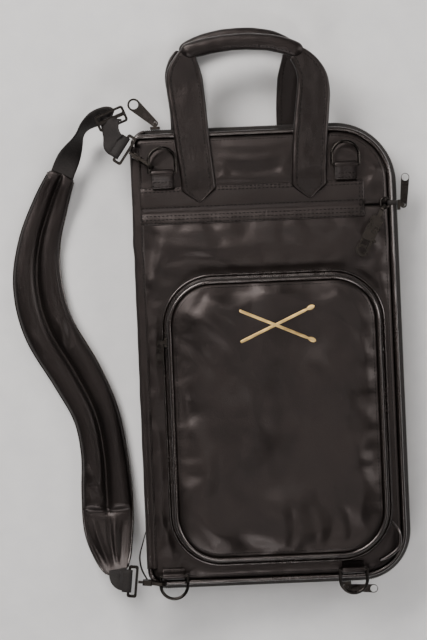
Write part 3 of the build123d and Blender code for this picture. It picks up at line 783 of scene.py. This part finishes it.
def calm_under(shape, rect):
    """Folds fade out under the pocket, the band and at the rim."""
    def height(x, y):
        rim = np.clip(edge_distance(x, y, rect) / 10, 0, 1)
        pocket_fade = np.clip(-edge_distance(x, y, pocket_rect(-8)) / 6, 0, 1)
        band_fade = np.clip(np.maximum(BAND_Y[0] - 2 - y, np.maximum(y - BAND_Y[1] - 1, x - 101)) / 5, 0, 1)
        return shape(x, y) * rim * pocket_fade * band_fade
    return height


lift(lower, calm_under(cover_shape(LOWER_FOLDS, 31), LOWER), 42.5)
lift(upper, calm_under(cover_shape(UPPER_FOLDS, 37), UPPER), 42.5)
place(lower, "front_cover", "leather", "lower_front_panel")
place(upper, "front_cover", "leather", "upper_front_panel")
lower_top, upper_top = surface(lower), surface(upper)


def cover_top(x, y):
    """The height of the cover's hide, or of its flat face where a ray misses it."""
    z = upper_top(x, y) if y > YOKE_Y else lower_top(x, y)
    return TOP_Z if z is None else z


def laid(name, rect, thick, swell):
    """A piece of hide lying on the cover, its rim turned down."""
    px, py = round_grid(rect, 3.0)
    ground = np.array([cover_top(x, y) for x, y in zip(px.ravel(), py.ravel())]).reshape(px.shape)
    rim = np.clip(edge_distance(px, py, rect) / 1.2, 0, 1)
    top = ground + 0.1 + thick * (0.45 + 0.55 * rim ** 0.5) + swell(px, py)
    return refine(panel(name, px, py, top, ground - 0.3, HIDE))


band_rect = (-127.0, 99.0, *BAND_Y, dict(bl=1.5, br=1.5, tr=1.5, tl=1.5))
band = laid("front_band_skin", band_rect, 1.3,
            lambda x, y: 0.35 * np.clip(np.sin(math.pi * (y - 134) / 38), 0, 1)
            + waves(x, y, 24, 0.4, 41, (0.5, 1.6)) * np.clip(np.minimum(y - 136, 170 - y) / 6, 0, 1))
place(band, "front_cover", "leather", "front_band")
band_top = surface(band)
band_rows = [on(band_top, line2((-125, y), (97, y), 120)) for y in (170.2, 167.2, 151.5, 143.2, 139.4, 135.8)]
band_rows.append(on(band_top, line2((97, 136), (97, 170), 12)))
band_rows.append(on(band_top, line2((94, 136), (94, 170), 12)))
sew("front_band_stitches", band_rows, "front_cover", "leather", pitch=4.0, length=2.7, radius=0.46)

place(piping("front_piping_cord", case_rect(PIPING_INSET), 42.6, 0.35, PIPING_R, 0.15, 26, 9),
      "front_cover", "piping", "front_piping")
flange = [(x, y, cover_top(x, y) + 0.12) for x, y in outline(case_rect(14.6))
          if not (x > 99 and 140 < y < 152)]
sew("cover_edge_stitches", [flange + flange[:1]], "front_cover", "leather")
zip_half("front", "front_cover", ((0.3, 23.8), (0.8, 25.6), (2.6, 30.0), (4.6, 36.0), (5.5, 39.6)), 23.9, -1,
         4.6, 37.2)
cloth_panel("front_lining_cloth", case_rect(LINING_INSET), 39.7, 0.9,
            lambda x, y: 0.2 + waves(x, y, 45, 0.2, 14), "front_cover", "front_lining", step=8.0)

# the hide that wraps over the spine edge, smooth above and drawn into two ridges below
wrap_sections = []
for y in np.linspace(-209, 213.5, 190):
    low = np.clip((-10 - y) / 50, 0, 1)
    bulge = 0.9 * math.exp(-((y - 116) / 9) ** 2) + 0.5 * noise.noise(Vector((y / 24, 3, 1)))
    ground = cover_top(-123.4, y)
    top = []
    for x, z in ((-122.6, ground - 0.1), (-123.6, ground + 0.5), (-125.2, 46.1), (-126.8, 46.1), (-128.2, 45.8),
                 (-129.6, 45.7), (-131.2, 45.5), (-132.5, 44.7), (-133.4, 43.4), (-133.8, 42.0)):
        ridge = 1.1 * math.exp(-((x + 126.4) / 0.9) ** 2) - 1.6 * math.exp(-((x + 128.8) / 0.9) ** 2)
        ripple = 0.35 * noise.noise(Vector((x / 5, y / 16, 8)))
        top.append((x - bulge * np.clip((-128 - x) / 5, 0, 1), y, z + low * ridge + ripple))
    under = [(x + (0.5 if x < -132 else 0.0), y, z - 1.0) for x, y, z in top[::-1]]
    wrap_sections.append(top + under)
wrap = loft("spine_wrap_skin", wrap_sections, HIDE)
place(wrap, "front_cover", "leather")
wrap_top = surface(wrap)
wrap_seam = on(wrap_top, line2((-124.6, -205), (-124.6, 210), 200), 0.08)
sew("spine_wrap_stitches", [wrap_seam], "front_cover", "leather")

# the end of the zip's tape, which stands out in a loop low on the spine side
tape_end = smooth_path(((-133.2, -170, 24), (-137.5, -184, 23), (-141.5, -199, 22), (-140, -212, 22),
                        (-134.5, -223, 23)), 50)
tape_out = np.array([(math.sin(t), 0.25 * math.cos(t)) for t in np.linspace(0.6, 2.4, 50)])
TAPE_SECTION = ((-6, 0.1), (-3, 0.6), (0, 0.8), (3, 0.6), (6.5, 0.1), (6.3, -0.7), (0, -0.5), (-5.8, -0.7))
fold_sections = [[(x - nx * t, y - ny * t, z + h) for h, t in TAPE_SECTION]
                 for (x, y, z), (nx, ny) in zip(tape_end, tape_out)]
place(loft("spine_tape_end", fold_sections, TAPE), "rear_case", "zip_tape")

# ---- front pocket ---------------------------------------------------------------------------
pocket_line = outline(pocket_rect(-3.0))
welt_sections = []
for (x, y), n in zip(pocket_line, normals_of(pocket_line)):
    z = cover_top(x + n[0] * 3, y + n[1] * 3) + 0.05
    shape = ((-3.4, 0.0), (-3.4, 1.6), (-1.6, 2.0), (-0.2, 1.3), (0.6, 1.5), (1.4, 2.6), (2.4, 3.0), (3.3, 2.2),
             (3.6, 0.6), (3.2, -0.2))
    welt_sections.append([(x + n[0] * d, y + n[1] * d, z + h) for d, h in shape])
place(loft("pocket_welt_skin", welt_sections, CORD_HIDE, ring=True), "front_cover", "piping", "pocket_welt")

BASE_ROWS = ((0.7, 46.2), (0.2, 49.0), (0.6, 52.0), (1.0, 54.0))
UPPER_ROWS = ((1.0, 56.6), (0.3, 58.8), (0.5, 61.0), (1.4, FACE_Z))
LOWER_ROWS = ((0.9, 54.2), *UPPER_ROWS)
for name, rows, keep, body, hidden in (
        ("pocket_gusset_base_skin", BASE_ROWS, None, "front_cover", "pocket_gusset_base"),
        ("pocket_gusset_lower_skin", LOWER_ROWS, lambda x, y: y < FLAP_Y - 0.4, "front_cover", "pocket_gusset"),
        ("pocket_flap_gusset_skin", UPPER_ROWS, lambda x, y: y > FLAP_Y + 2.2, "pocket_flap",
         "pocket_flap_gusset")):
    gusset = wall(name, [(pocket_rect(inset), z) for inset, z in rows], HIDE_SHADED, keep, thick=1.8)
    place(gusset, body, "leather", hidden)
zip_line = outline(pocket_rect(-0.2))
for name, z, way, body, hidden in (("pocket_teeth_base", 53.7, 1, "front_cover", "pocket_zip_coil_base"),
                                   ("pocket_teeth_flap", 56.9, -1, "pocket_flap", "pocket_zip_coil_flap")):
    row = teeth(name, zip_line, normals_of(zip_line), z, way, keep=lambda x, y: y > FLAP_Y + 3)
    place(row, body, "zip_coil", hidden)

FACE = pocket_rect(3.6)
FACE_FOLDS = (
    (((-92, 44), (-72, 40), (-46, 20), (-30, -8)), 2.4, 9), (((-96, 26), (-80, 14), (-58, -16)), -1.4, 6),
    (((-66, 62), (-40, 48), (-18, 52)), 1.2, 7), (((-20, 10), (14, -14), (36, -52)), 1.8, 13),
    (((-44, -20), (-20, -52), (-12, -96)), 1.4, 12), (((30, 0), (60, -20), (86, -56)), 1.5, 11),
    (((-88, -60), (-70, -96), (-74, -140)), 1.5, 10), (((-90, -20), (-84, -56), (-88, -96)), -1.0, 6),
    (((-40, -130), (-6, -146), (40, -140)), 1.6, 12), (((10, -150), (14, -172), (8, -194)), -1.3, 4),
    (((34, -146), (42, -170), (40, -194)), 1.3, 5), (((62, -150), (70, -170), (68, -192)), -1.0, 4),
    (((84, 20), (94, -10), (96, -50)), 1.2, 5), (((70, -80), (84, -110), (86, -150)), 1.3, 9),
    (((-84, -150), (-64, -172), (-40, -190)), 1.4, 6), (((-30, 66), (20, 60), (70, 66)), 0.8, 4),
    (((60, 60), (80, 48), (94, 28)), 1.2, 6), (((40, 46), (66, 36), (88, 14)), -0.8, 6),
    (((88, -176), (80, -160), (84, -140)), 1.0, 4))


def face_shape(x, y):
    """The pocket face's folds and unevenness, fading out at its seam."""
    fade = np.clip(edge_distance(x, y, FACE) / 12, 0, 1)
    soft = waves(x, y, 56, 4.6, 51, (1.0, 0.8)) + waves(x, y, 20, 0.7, 52)
    return fade * (folds(x, y, FACE_FOLDS) * 1.3 + soft)


face = puffed("pocket_face_skin", FACE, lambda x, y: 1.2 * np.clip(1 - ((x - 2.5) / 102) ** 2, 0, 1),
              FACE_Z + 1.2, FACE_Z + 3.3, FACE_Z - 0.2, step=5.0, pressure=2.6, grow=0.02, cap=2.6, roll=9.0)
lift(face, face_shape, 63.9)
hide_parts("pocket_face", "pocket_flap")
face_top = surface(face)
cord_rim = piping("pocket_piping_cord", pocket_rect(2.0), FACE_Z + 2.0, 0.35, 2.05, 0.1, 24, 15)
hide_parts("pocket_piping", "pocket_flap_piping")
rim_line = on(face_top, outline(pocket_rect(7.6)), 0.1)
face_seam = stitches("pocket_face_stitches", [rim_line + rim_line[:1]], THREAD, radius=0.32)

EMBLEM = (4.0, 30.0)
emblem_parts = []
for i, tilt in enumerate((24, -24)):
    c, s = math.cos(math.radians(tilt)), math.sin(math.radians(tilt))
    stations = []
    for t in np.linspace(-38.5, 43.0, 60):
        x, y = EMBLEM[0] + t * c, EMBLEM[1] + t * s
        tip = 2.4 * math.sqrt(max(1 - ((t - 39) / 4.0) ** 2, 0)) if t > 35 else 0
        half = max(1.45 if t < 32 else 1.45 - 0.2 * (t - 32), tip, 0.4) * min(1, (t + 39.2) / 1.0)
        stations.append((x, y, face_top(x, y, FACE_Z + 3.5) + 0.12 + 0.05 * i, half))
    emblem_parts.append(ribbon(f"emblem_stick_{i}", stations, flat_profile(0.3, count=6), GOLD))
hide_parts("emblem")
for piece in (face, cord_rim, face_seam):
    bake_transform(piece)
for part in emblem_parts:
    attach(part, "pocket_flap")

# the zip's end tab at the right of the pocket
tab = [[(x, 1.5 + 2.2 * k * math.cos(a), POCKET_ZIP_Z + 4.6 * k * math.sin(a))
        for a in np.arange(12) * math.pi / 6]
       for x, k in ((108.4, 0.9), (109.2, 1.0), (110.6, 1.0), (111.0, 0.7))]
place(loft("pocket_zip_end_tab", tab, CORD_HIDE), "front_cover", "leather")

# ---- D-ring tabs ----------------------------------------------------------------------------
RING_Z = 52.6
TABS = ((-102.0, 186.0, 1, 15.0), (81.0, 187.0, 1, 14.0), (-107.0, -216.0, -1, 6.5), (72.0, -217.0, -1, 7.5))
tab_lines = []
for i, (x, y, way, length) in enumerate(TABS):
    side_view = [(-length - 1, 47.4), (-length * 0.6, 47.4), (-3.5, 48.6), (-1.0, 48.9), (1.6, 49.6), (3.2, 51.4),
                 (3.4, 53.4), (2.2, 55.4), (0.0, 56.3), (-2.2, 56.1), (-length * 0.45, 53.4), (-length * 0.7, 51.2),
                 (-length, 50.0), (-length - 1.6, 49.0)]
    middle = np.array([0.0, 52.0])
    sections = []
    for half in (-11.0, -10.6, -9.6, -5, 0, 5, 9.6, 10.6, 11.0):
        shrink = 1 - 0.1 * max(abs(half) - 9.6, 0) / 1.4
        points = (np.array(side_view) - middle) * shrink + middle
        sections.append([(x + half, y + way * d, h) for d, h in points])
    body = loft(f"ring_tab_{i}", sections, HIDE_SHADED)
    place(body, "front_cover", "leather", "ring_tabs")
    tab_top = surface(body)
    for d in (-length + 1.0, -length * 0.62):
        tab_lines.append(on(tab_top, line2((x - 9, y + way * d), (x + 9, y + way * d), 20), 0.1))
    for s in (-9.2, 9.2):
        tab_lines.append(on(tab_top, line2((x + s, y - way * length), (x + s, y - way * 2), 16), 0.1))
sew("ring_tab_stitches", [line for line in tab_lines if len(line) > 3], "front_cover", "leather")

# a small loop of folded hide left outside the pocket's lower corner
loop = smooth_path(((112, -170, 49.5), (119, -182, 51.0), (118, -196, 51.5), (108, -205, 51),
                    (99, -209, 49.5)), 40)
loop_radius = 1.5 + 0.5 * np.sin(np.linspace(0, math.pi, 40))
place(tube("corner_fold_cord", loop, loop_radius, CORD_HIDE), "front_cover", "leather")

# ---- key clip loop --------------------------------------------------------------------------
LOOP_X, LOOP_Z = 125.8, 51.7
LOOP_SECTION = ((144.7, 0), (144.7, 0.9), (147, 1.15), (149.3, 0.9), (149.3, 0), (147, -0.1))
sections = [[(LOOP_X + (3.7 + t) * math.cos(a), y, LOOP_Z + (2.5 + t) * math.sin(a)) for y, t in LOOP_SECTION]
            for a in np.arange(40) * math.pi / 20]
place(loft("key_clip_loop_skin", sections, WEBBING, ring=True), "front_cover", "webbing", "key_clip_loop")

# ==== handles ================================================================================


def leg(name, stations):
    """One strap of doubled hide with raised edges, through (x, y, z, half width, thickness) stations."""
    s = smooth_path(stations, 120)
    across = np.linspace(-1, 1, 20)
    _, side, _ = frames(s[:, :3], False)
    sections = []
    for i, (x, y, z, half, thick) in enumerate(s):
        top = thick / 2 + 0.55 * np.exp(-((np.abs(across) - 0.84) / 0.08) ** 2) + 0.35 * (1 - across ** 2)
        top = top - (thick / 2 + 0.3) * np.clip((np.abs(across) - 0.9) / 0.1, 0, 1) ** 2
        soft = 0.7 * noise.noise(Vector((x / 22, y / 22, 6)))
        ripple = np.array([0.3 * noise.noise(Vector(((x + a * half) / 9, y / 13, 7))) for a in across])
        upper_side = [s[i, :3] + side[i] * half * a + np.array((0, 0, h + soft + r))
                      for a, h, r in zip(across, top, ripple)]
        under_side = [s[i, :3] + side[i] * half * a + np.array((0, 0, -thick / 2 + soft * 0.5))
                      for a in across[::-1]]
        sections.append(upper_side + under_side)
    strap = refine(loft(f"{name}_skin", sections, HIDE_SHADED))
    top_of = surface(strap)
    lines = []
    for sign in (-1, 1):
        row = [tuple((p[:3] + q * sign * (p[3] - 5.4))[:2]) for p, q in zip(s, side) if p[3] > 9]
        lines.append(on(top_of, row, 0.12))
    return strap, [line for line in lines if len(line) > 3]


def grip(name, stations):
    """The folded grip: a flattened tube of hide with closed round ends and its seam along the lower edge."""
    s = smooth_path(stations, 130)
    gone = np.linspace(0, 1, len(s))
    close = np.sqrt(np.clip(1 - (np.clip(0.07 - np.minimum(gone, 1 - gone), 0, 0.07) / 0.0702) ** 2, 0.02, 1))
    _, side, _ = frames(s[:, :3], False)
    angles = np.arange(28) * 2 * math.pi / 28
    sections = []
    for i, (x, y, z, half, thick) in enumerate(s):
        ring = []
        for a in angles:
            swell = 1 + 0.05 * noise.noise(Vector((x / 12, 2 * math.cos(a), 2 * math.sin(a))))
            pinch = 1 + 0.16 * max(math.cos(a), 0) ** 6
            flat = abs(math.sin(a)) ** 0.75 * math.copysign(1, math.sin(a))
            ring.append(s[i, :3] + side[i] * (half * close[i] * swell * pinch * math.cos(a))
                        + np.array((0, 0, thick / 2 * close[i] * swell * flat)))
        sections.append(ring)
    piece = refine(loft(f"{name}_skin", sections, HIDE_SHADED))
    top_of = surface(piece)
    row = on(top_of, [tuple((p[:3] + q * p[3] * 0.72)[:2]) for p, q in zip(s, side)], 0.1)
    return piece, [row[8:-8]]


def handle(name, legs, grip_stations, hidden):
    """Two straps and a grip, which bend where the straps leave the case."""
    pieces, rows = [], []
    for label, stations in legs:
        strap, lines = leg(f"{name}_strap_{label}", stations)
        pieces.append(strap)
        rows += lines
    rolled, lines = grip(f"{name}_grip", grip_stations)
    pieces.append(rolled)
    seam = stitches(f"{name}_handle_stitches", rows + lines, THREAD, pitch=3.8, length=2.6, radius=0.42)
    for piece in pieces + [seam]:
        if piece is not seam:
            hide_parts(*hidden)
        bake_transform(piece)


FRONT_LEFT = ((-66, 155.5, 48.7, 0.8, 2.4), (-66, 160, 48.7, 7.5, 2.6), (-66.2, 167.5, 48.8, 16.6, 2.6),
              (-66.4, 173, 49.0, 17.2, 2.8), (-67.4, 186, 49.4, 17.2, 3), (-70.6, 215, 48.4, 17.6, 3),
              (-73.6, 250, 47.2, 18.2, 3), (-75.8, 272, 46.4, 18.7, 3.2), (-76.2, 282, 46.2, 18.3, 3.6),
              (-75.2, 291, 46, 15.8, 4.6), (-73.6, 299, 45.6, 12.0, 6), (-71.5, 306, 45.2, 8.6, 7))
FRONT_RIGHT = ((44.2, 155.5, 48.7, 0.8, 2.4), (44.2, 160, 48.7, 7.5, 2.6), (44.2, 167.5, 48.8, 16.8, 2.6),
               (44.3, 173, 49.0, 17.6, 2.8), (45, 186, 49.4, 17.6, 3), (47.2, 215, 48.4, 17.6, 3),
               (50.6, 246, 47.3, 17.2, 3), (52.3, 262, 46.8, 16.8, 3.1), (51.8, 275, 46.4, 15.6, 3.6),
               (48.0, 286, 46.1, 13.4, 4.6), (42.5, 294.5, 45.6, 11.0, 6), (36, 301, 45.2, 8.6, 7))
FRONT_GRIP = ((-78.5, 304.5, 46.4, 7.0, 11), (-72, 307, 46.6, 7.6, 12), (-61, 309.8, 46.4, 7.8, 13),
              (-42, 313.2, 46, 7.8, 13.4), (-18, 314.8, 45.8, 7.8, 13.4), (6, 313.4, 46, 7.8, 13.4),
              (24, 309.4, 46.4, 7.8, 13), (36, 304.6, 46.6, 7.6, 12), (43.5, 300.5, 46.4, 7.0, 11))
handle("front", (("left", FRONT_LEFT), ("right", FRONT_RIGHT)), FRONT_GRIP,
       ("front_handle_straps", "front_handle_grip", "front_handle_anchors"))
REAR_LEFT = ((-75, 150, 1.3, 16.5, 1.6), (-75, 200, 1.3, 17.5, 1.8), (-75, 236, 1.6, 17.5, 2.2),
             (-75.5, 254, 3.2, 17.6, 3), (-77, 274, 6.2, 18.2, 3), (-78.4, 288, 8.6, 18, 3.6),
             (-78, 300, 10.4, 14.6, 5), (-75.5, 311, 11.4, 9, 7))
REAR_RIGHT = ((33, 150, 1.3, 16.5, 1.6), (33, 200, 1.3, 17.5, 1.8), (33, 236, 1.6, 17.5, 2.2),
              (33.5, 254, 3.2, 17.6, 3), (35, 272, 6.0, 17.6, 3), (35.6, 283, 7.8, 17, 3.6),
              (35, 294, 10, 14, 5), (33.5, 306, 11.2, 9, 7))
REAR_GRIP = ((-80, 309.5, 12, 7.0, 11), (-73, 313.5, 12, 7.6, 12), (-60, 319, 12, 7.8, 13),
             (-42, 323.6, 12, 7.8, 13.4), (-20, 325.4, 12, 7.8, 13.4), (4, 323.6, 12, 7.8, 13.4),
             (20, 318.4, 12, 7.8, 13), (31, 312, 12, 7.6, 12), (38, 306.5, 12, 7.0, 11))
handle("rear", (("left", REAR_LEFT), ("right", REAR_RIGHT)), REAR_GRIP,
       ("rear_handle_straps", "rear_handle_grip", "rear_handle_anchors"))

# ==== shoulder strap =========================================================================
PAD = ((-204, 192, 17, 27, 8), (-218, 161, 10, 35, 10), (-231, 122, 7.5, 42, 12), (-234.5, 80, 7.5, 49, 12),
       (-225, 36, 7.5, 51, 12), (-199, -12, 7.5, 50, 12), (-181, -52, 7.5, 46, 12), (-174, -92, 7.5, 46, 12),
       (-172.5, -135, 9, 51, 12), (-172, -170, 13, 49, 11), (-168, -198, 20, 36, 9), (-164, -214, 28, 20, 7))
pad_line = smooth_path(PAD, 110)
_, pad_side, pad_high = frames(pad_line[:, :3], False)
across = np.linspace(-1, 1, 25)
sections = []
for i, (x, y, z, width, thick) in enumerate(pad_line):
    padding = np.clip((y + 156) / 10, 0, 1) * np.clip((198 - y) / 14, 0.25, 1)
    lobe = np.sqrt(np.clip(1 - ((np.abs(across) - 0.52) / 0.46) ** 2, 0, 1))
    rim = np.exp(-((np.abs(across) - 0.93) / 0.05) ** 2) * 0.8
    top = (0.22 + 0.34 * padding) * thick * (0.28 + 0.72 * lobe * padding + 0.35 * (1 - padding)) + rim * 0.6
    top = top - 1.8 * padding * np.exp(-(across / 0.13) ** 2)
    top[[0, -1]] = 0.4
    centre = np.array((x, y, z + 0.4))
    upper_side = [centre + pad_side[i] * a * width / 2 + pad_high[i] * h for a, h in zip(across, top)]
    under_side = [centre + pad_side[i] * a * width / 2 - pad_high[i] * min(h * 0.8, thick / 2)
                  for a, h in zip(across[::-1], top[::-1])]
    sections.append(upper_side + under_side)
pad = loft("shoulder_pad_skin", sections, HIDE_SHADED)
row = 2 * len(across)
pins = []
for i in range(len(pad_line)):
    pins += [i * row + j for j in (0, 1, 12, 23, 24, 25, 26, 48, 49)]
    if i < 3 or i > len(pad_line) - 20:
        pins += [i * row + j for j in range(row)]
inflate(pad, sorted(set(pins)), 4.0, 0.0, 1.4)
pad = refine(pad)
PAD_FOLDS = (
    (((-246, 30), (-234, 22), (-226, 4)), 0.8, 5), (((-216, 46), (-211, 34), (-211, 16)), 1.3, 4),
    (((-207, 46), (-203, 30), (-203, 14)), -1.0, 3.5), (((-238, 8), (-226, 2), (-216, -8)), -0.6, 5),
    (((-194, -106), (-186, -118), (-178, -132)), 0.9, 4), (((-193, -122), (-185, -132), (-178, -142)), -0.9, 3.5),
    (((-200, -150), (-172, -153), (-146, -150)), -2.4, 2.6), (((-188, -158), (-182, -180), (-172, -208)), 1.8, 2.6),
    (((-195, -166), (-190, -182), (-178, -204)), -1.4, 2.4), (((-172, -158), (-170, -184), (-166, -208)), -1.6, 2.5),
    (((-165, -156), (-166, -180), (-165, -206)), 1.5, 2.6), (((-156, -158), (-159, -180), (-161, -204)), -1.2, 2.4))
co = points_of(pad)
up_side = np.array([v.normal.z for v in pad.data.vertices])
move = folds(co[:, 0], co[:, 1], PAD_FOLDS) + waves(co[:, 0], co[:, 1], 44, 0.7, 61)
co[:, 2] += move * np.clip(up_side, 0, 1)
move_points(pad, co)
place(pad, "shoulder_strap", "leather", "strap_pad")
pad_top = surface(pad)
pad_lines = []
for share in (-0.1, 0.1, -0.84, 0.84):
    row = [tuple((p[:3] + q * share * p[3] / 2)[:2]) for p, q in zip(pad_line, pad_side) if -205 < p[1] < 186]
    pad_lines.append(on(pad_top, row, 0.05))
sew("shoulder_pad_stitches", pad_lines, "shoulder_strap", "leather", radius=0.32)
for name, share in (("left", -1.0), ("right", 1.0)):
    edge = [tuple(p[:3] + q * share * (p[3] / 2 - 0.4) + np.array((0, 0, 0.6)))
            for p, q in zip(pad_line, pad_side)]
    cord = tube(f"shoulder_pad_piping_{name}", edge[1:-1], 1.3, CORD_HIDE, sides=8)
    place(cord, "shoulder_strap", "piping")

# where each hook starts on its ring, and the way that the strap leaves it
TOP_START, TOP_WAY = (-115.5, 194.6), (-0.82, 0.57)
LOW_START, LOW_WAY = (-120.5, -222.8), (-0.99, 0.12)


def eye_point(ring, turn, gone):
    """A point on the strap's line out from a ring, past its snap hook."""
    along = np.array((*turn, 0.0))
    return np.array((*ring, RING_Z)) + along / np.linalg.norm(along) * gone


def webbing(name, points, hidden):
    """A length of webbing through (x, y, z, half width, turn about its own line in degrees) points."""
    line = smooth_path(points, 120)
    _, side, high = frames(line[:, :3], False)
    profile = flat_profile(1.8, 0.5, rim=0.25)
    sections = []
    for i, (x, y, z, half, turn) in enumerate(line):
        c, s = math.cos(math.radians(turn)), math.sin(math.radians(turn))
        across, out = side[i] * c + high[i] * s, high[i] * c - side[i] * s
        sections.append([np.array((x, y, z)) + across * a * half + out * h for a, h in profile])
    place(loft(name, sections, WEBBING), "shoulder_strap", "webbing", hidden)


def bar_loop(name, centre, turn, gone, half, hidden):
    """The webbing's end, folded round a swivel's bar and sewn back on itself."""
    along = np.array((*turn, 0.0)) / math.hypot(*turn)
    side = np.array((-along[1], along[0], 0.0))
    middle = smooth_path([(gone + d, h, 0) for d, h in ((9.5, 0.9), (6, 2.3), (3.6, 2.6), (1.6, 1.6), (1.2, 0),
                                                        (1.6, -1.6), (3.6, -2.6), (6, -2.3), (9.5, -0.9))], 40)
    tangent = np.gradient(middle[:, :2], axis=0)
    tangent /= np.linalg.norm(tangent, axis=1, keepdims=True)
    out = np.stack((-tangent[:, 1], tangent[:, 0]), 1) * 0.85
    closed = np.vstack((middle[:, :2] + out, (middle[:, :2] - out)[::-1]))
    base = np.array((*centre, RING_Z))
    sections = [[base + along * d + side * w + np.array((0, 0, h)) for d, h in closed]
                for w in np.linspace(-half, half, 9)]
    place(loft(name, sections, WEBBING), "shoulder_strap", "webbing", hidden)


bar_loop("webbing_fold_top", TOP_START, TOP_WAY, 28.4, 12, "strap_webbing_upper")
bar_loop("webbing_fold_bottom", LOW_START, LOW_WAY, 28.4, 11, "strap_webbing_lower")
webbing("webbing_to_top_hook", [(*eye_point(TOP_START, TOP_WAY, 35.4), 12, 8),
                                (*eye_point(TOP_START, TOP_WAY, 41.0), 12, 22), (-151.5, 228, 48.5, 11, 40),
                                (-152, 239, 45, 11, 30), (-151, 243.5, 43.2, 11, 10)], "strap_webbing_upper")
webbing("webbing_to_pad", [(-150.8, 244, 43, 9, 15), (-156, 247, 38.6, 9.5, 30), (-167, 244.5, 33, 10.5, 46),
                           (-178, 237.5, 29.5, 11.5, 70), (-184.5, 229, 27.5, 12, 76), (-190, 219, 24.5, 12, 55),
                           (-197, 206, 20.5, 12, 22), (-203, 193.6, 17.4, 12, 0), (-206.5, 184, 15.5, 12, 0)],
        "strap_webbing_upper")
webbing("webbing_to_low_hook", [(-164, -210, 27, 9, 0), (-163, -216.5, 33, 9.5, 0), (-160.5, -219, 41, 10, 0),
                                (*eye_point(LOW_START, LOW_WAY, 35.8), 11, 0)], "strap_webbing_lower")

# ==== floor, light and camera ================================================================
floor_mat, tree, shader = new_material("pale_floor", (0.72, 0.72, 0.73), 0.75)
speckle = node(tree, "ShaderNodeTexNoise", {"Vector": place_coordinates(tree), "Scale": 40.0, "Detail": 4.0})
tree.links.new(ramp(tree, speckle.outputs["Fac"], ((0.3, (0.7, 0.7, 0.71)), (0.7, (0.75, 0.75, 0.755)))),
               shader.inputs["Base Color"])
FLOOR = 30000.0
floor = make("floor", [(x * FLOOR, y * FLOOR, -0.3) for x, y in ((-1, -1), (1, -1), (1, 1), (-1, 1))],
             [(0, 1, 2, 3)], floor_mat, smooth=False)

CENTRE = Vector((-0.057, 0.0374, 0.045))
world = bpy.data.worlds.new("studio")
bpy.context.scene.world = world
world.use_nodes = True
sky = world.node_tree  # pale by the horizon, dim overhead
direction = sky.nodes.new("ShaderNodeTexCoord")
height = sky.nodes.new("ShaderNodeSeparateXYZ")
sky.links.new(direction.outputs["Generated"], height.inputs[0])
glow = sky.nodes["Background"]
sky.links.new(span(sky, height.outputs["Z"], 0.5, 0.04, 0.02, 0.3), glow.inputs["Strength"])
glow.inputs["Color"].default_value = (0.95, 0.96, 1.0, 1)


def softbox(name, at, size, power, colour):
    """A square soft light that looks at the bag."""
    light = bpy.data.lights.new(name, "AREA")
    light.shape = "RECTANGLE"
    light.size, light.size_y = size
    light.energy = power
    light.color = colour
    obj = bpy.data.objects.new(name, light)
    bpy.context.scene.collection.objects.link(obj)
    obj.location = at
    obj.rotation_euler = (CENTRE - Vector(at)).to_track_quat("-Z", "Y").to_euler()


softbox("key_softbox", (-0.9, 1.25, 1.25), (1.2, 0.5), 40, (1.0, 0.96, 0.92))
softbox("fill_softbox", (1.5, 0.35, 1.05), (0.5, 1.3), 16, (1.0, 0.97, 0.94))
softbox("crown_softbox", (-0.02, 0.36, 1.9), (0.5, 0.22), 2.6, (1.0, 0.95, 0.91))
softbox("foot_softbox", (0.06, -0.34, 1.9), (0.4, 0.25), 2.0, (1.0, 0.95, 0.91))
softbox("low_softbox", (-0.45, -1.35, 1.3), (0.9, 0.5), 15, (1.0, 0.97, 0.95))
room = bpy.data.lights.new("room_light", "SUN")
room.energy = 0.5
room.angle = math.radians(30)
room_obj = bpy.data.objects.new("room_light", room)
bpy.context.scene.collection.objects.link(room_obj)
room_obj.rotation_euler = Vector((0.6, -0.7, -0.9)).to_track_quat("-Z", "Y").to_euler()

camera = bpy.data.cameras.new("camera")
camera.lens = 112.5
camera.sensor_width = 36.0
camera.clip_end = 100.0
camera_obj = bpy.data.objects.new("camera", camera)
bpy.context.scene.collection.objects.link(camera_obj)
camera_obj.location = (CENTRE.x, CENTRE.y, CENTRE.z + 2.0)
camera_obj.rotation_euler = (0, 0, math.radians(-2.4))
bpy.context.scene.camera = camera_obj
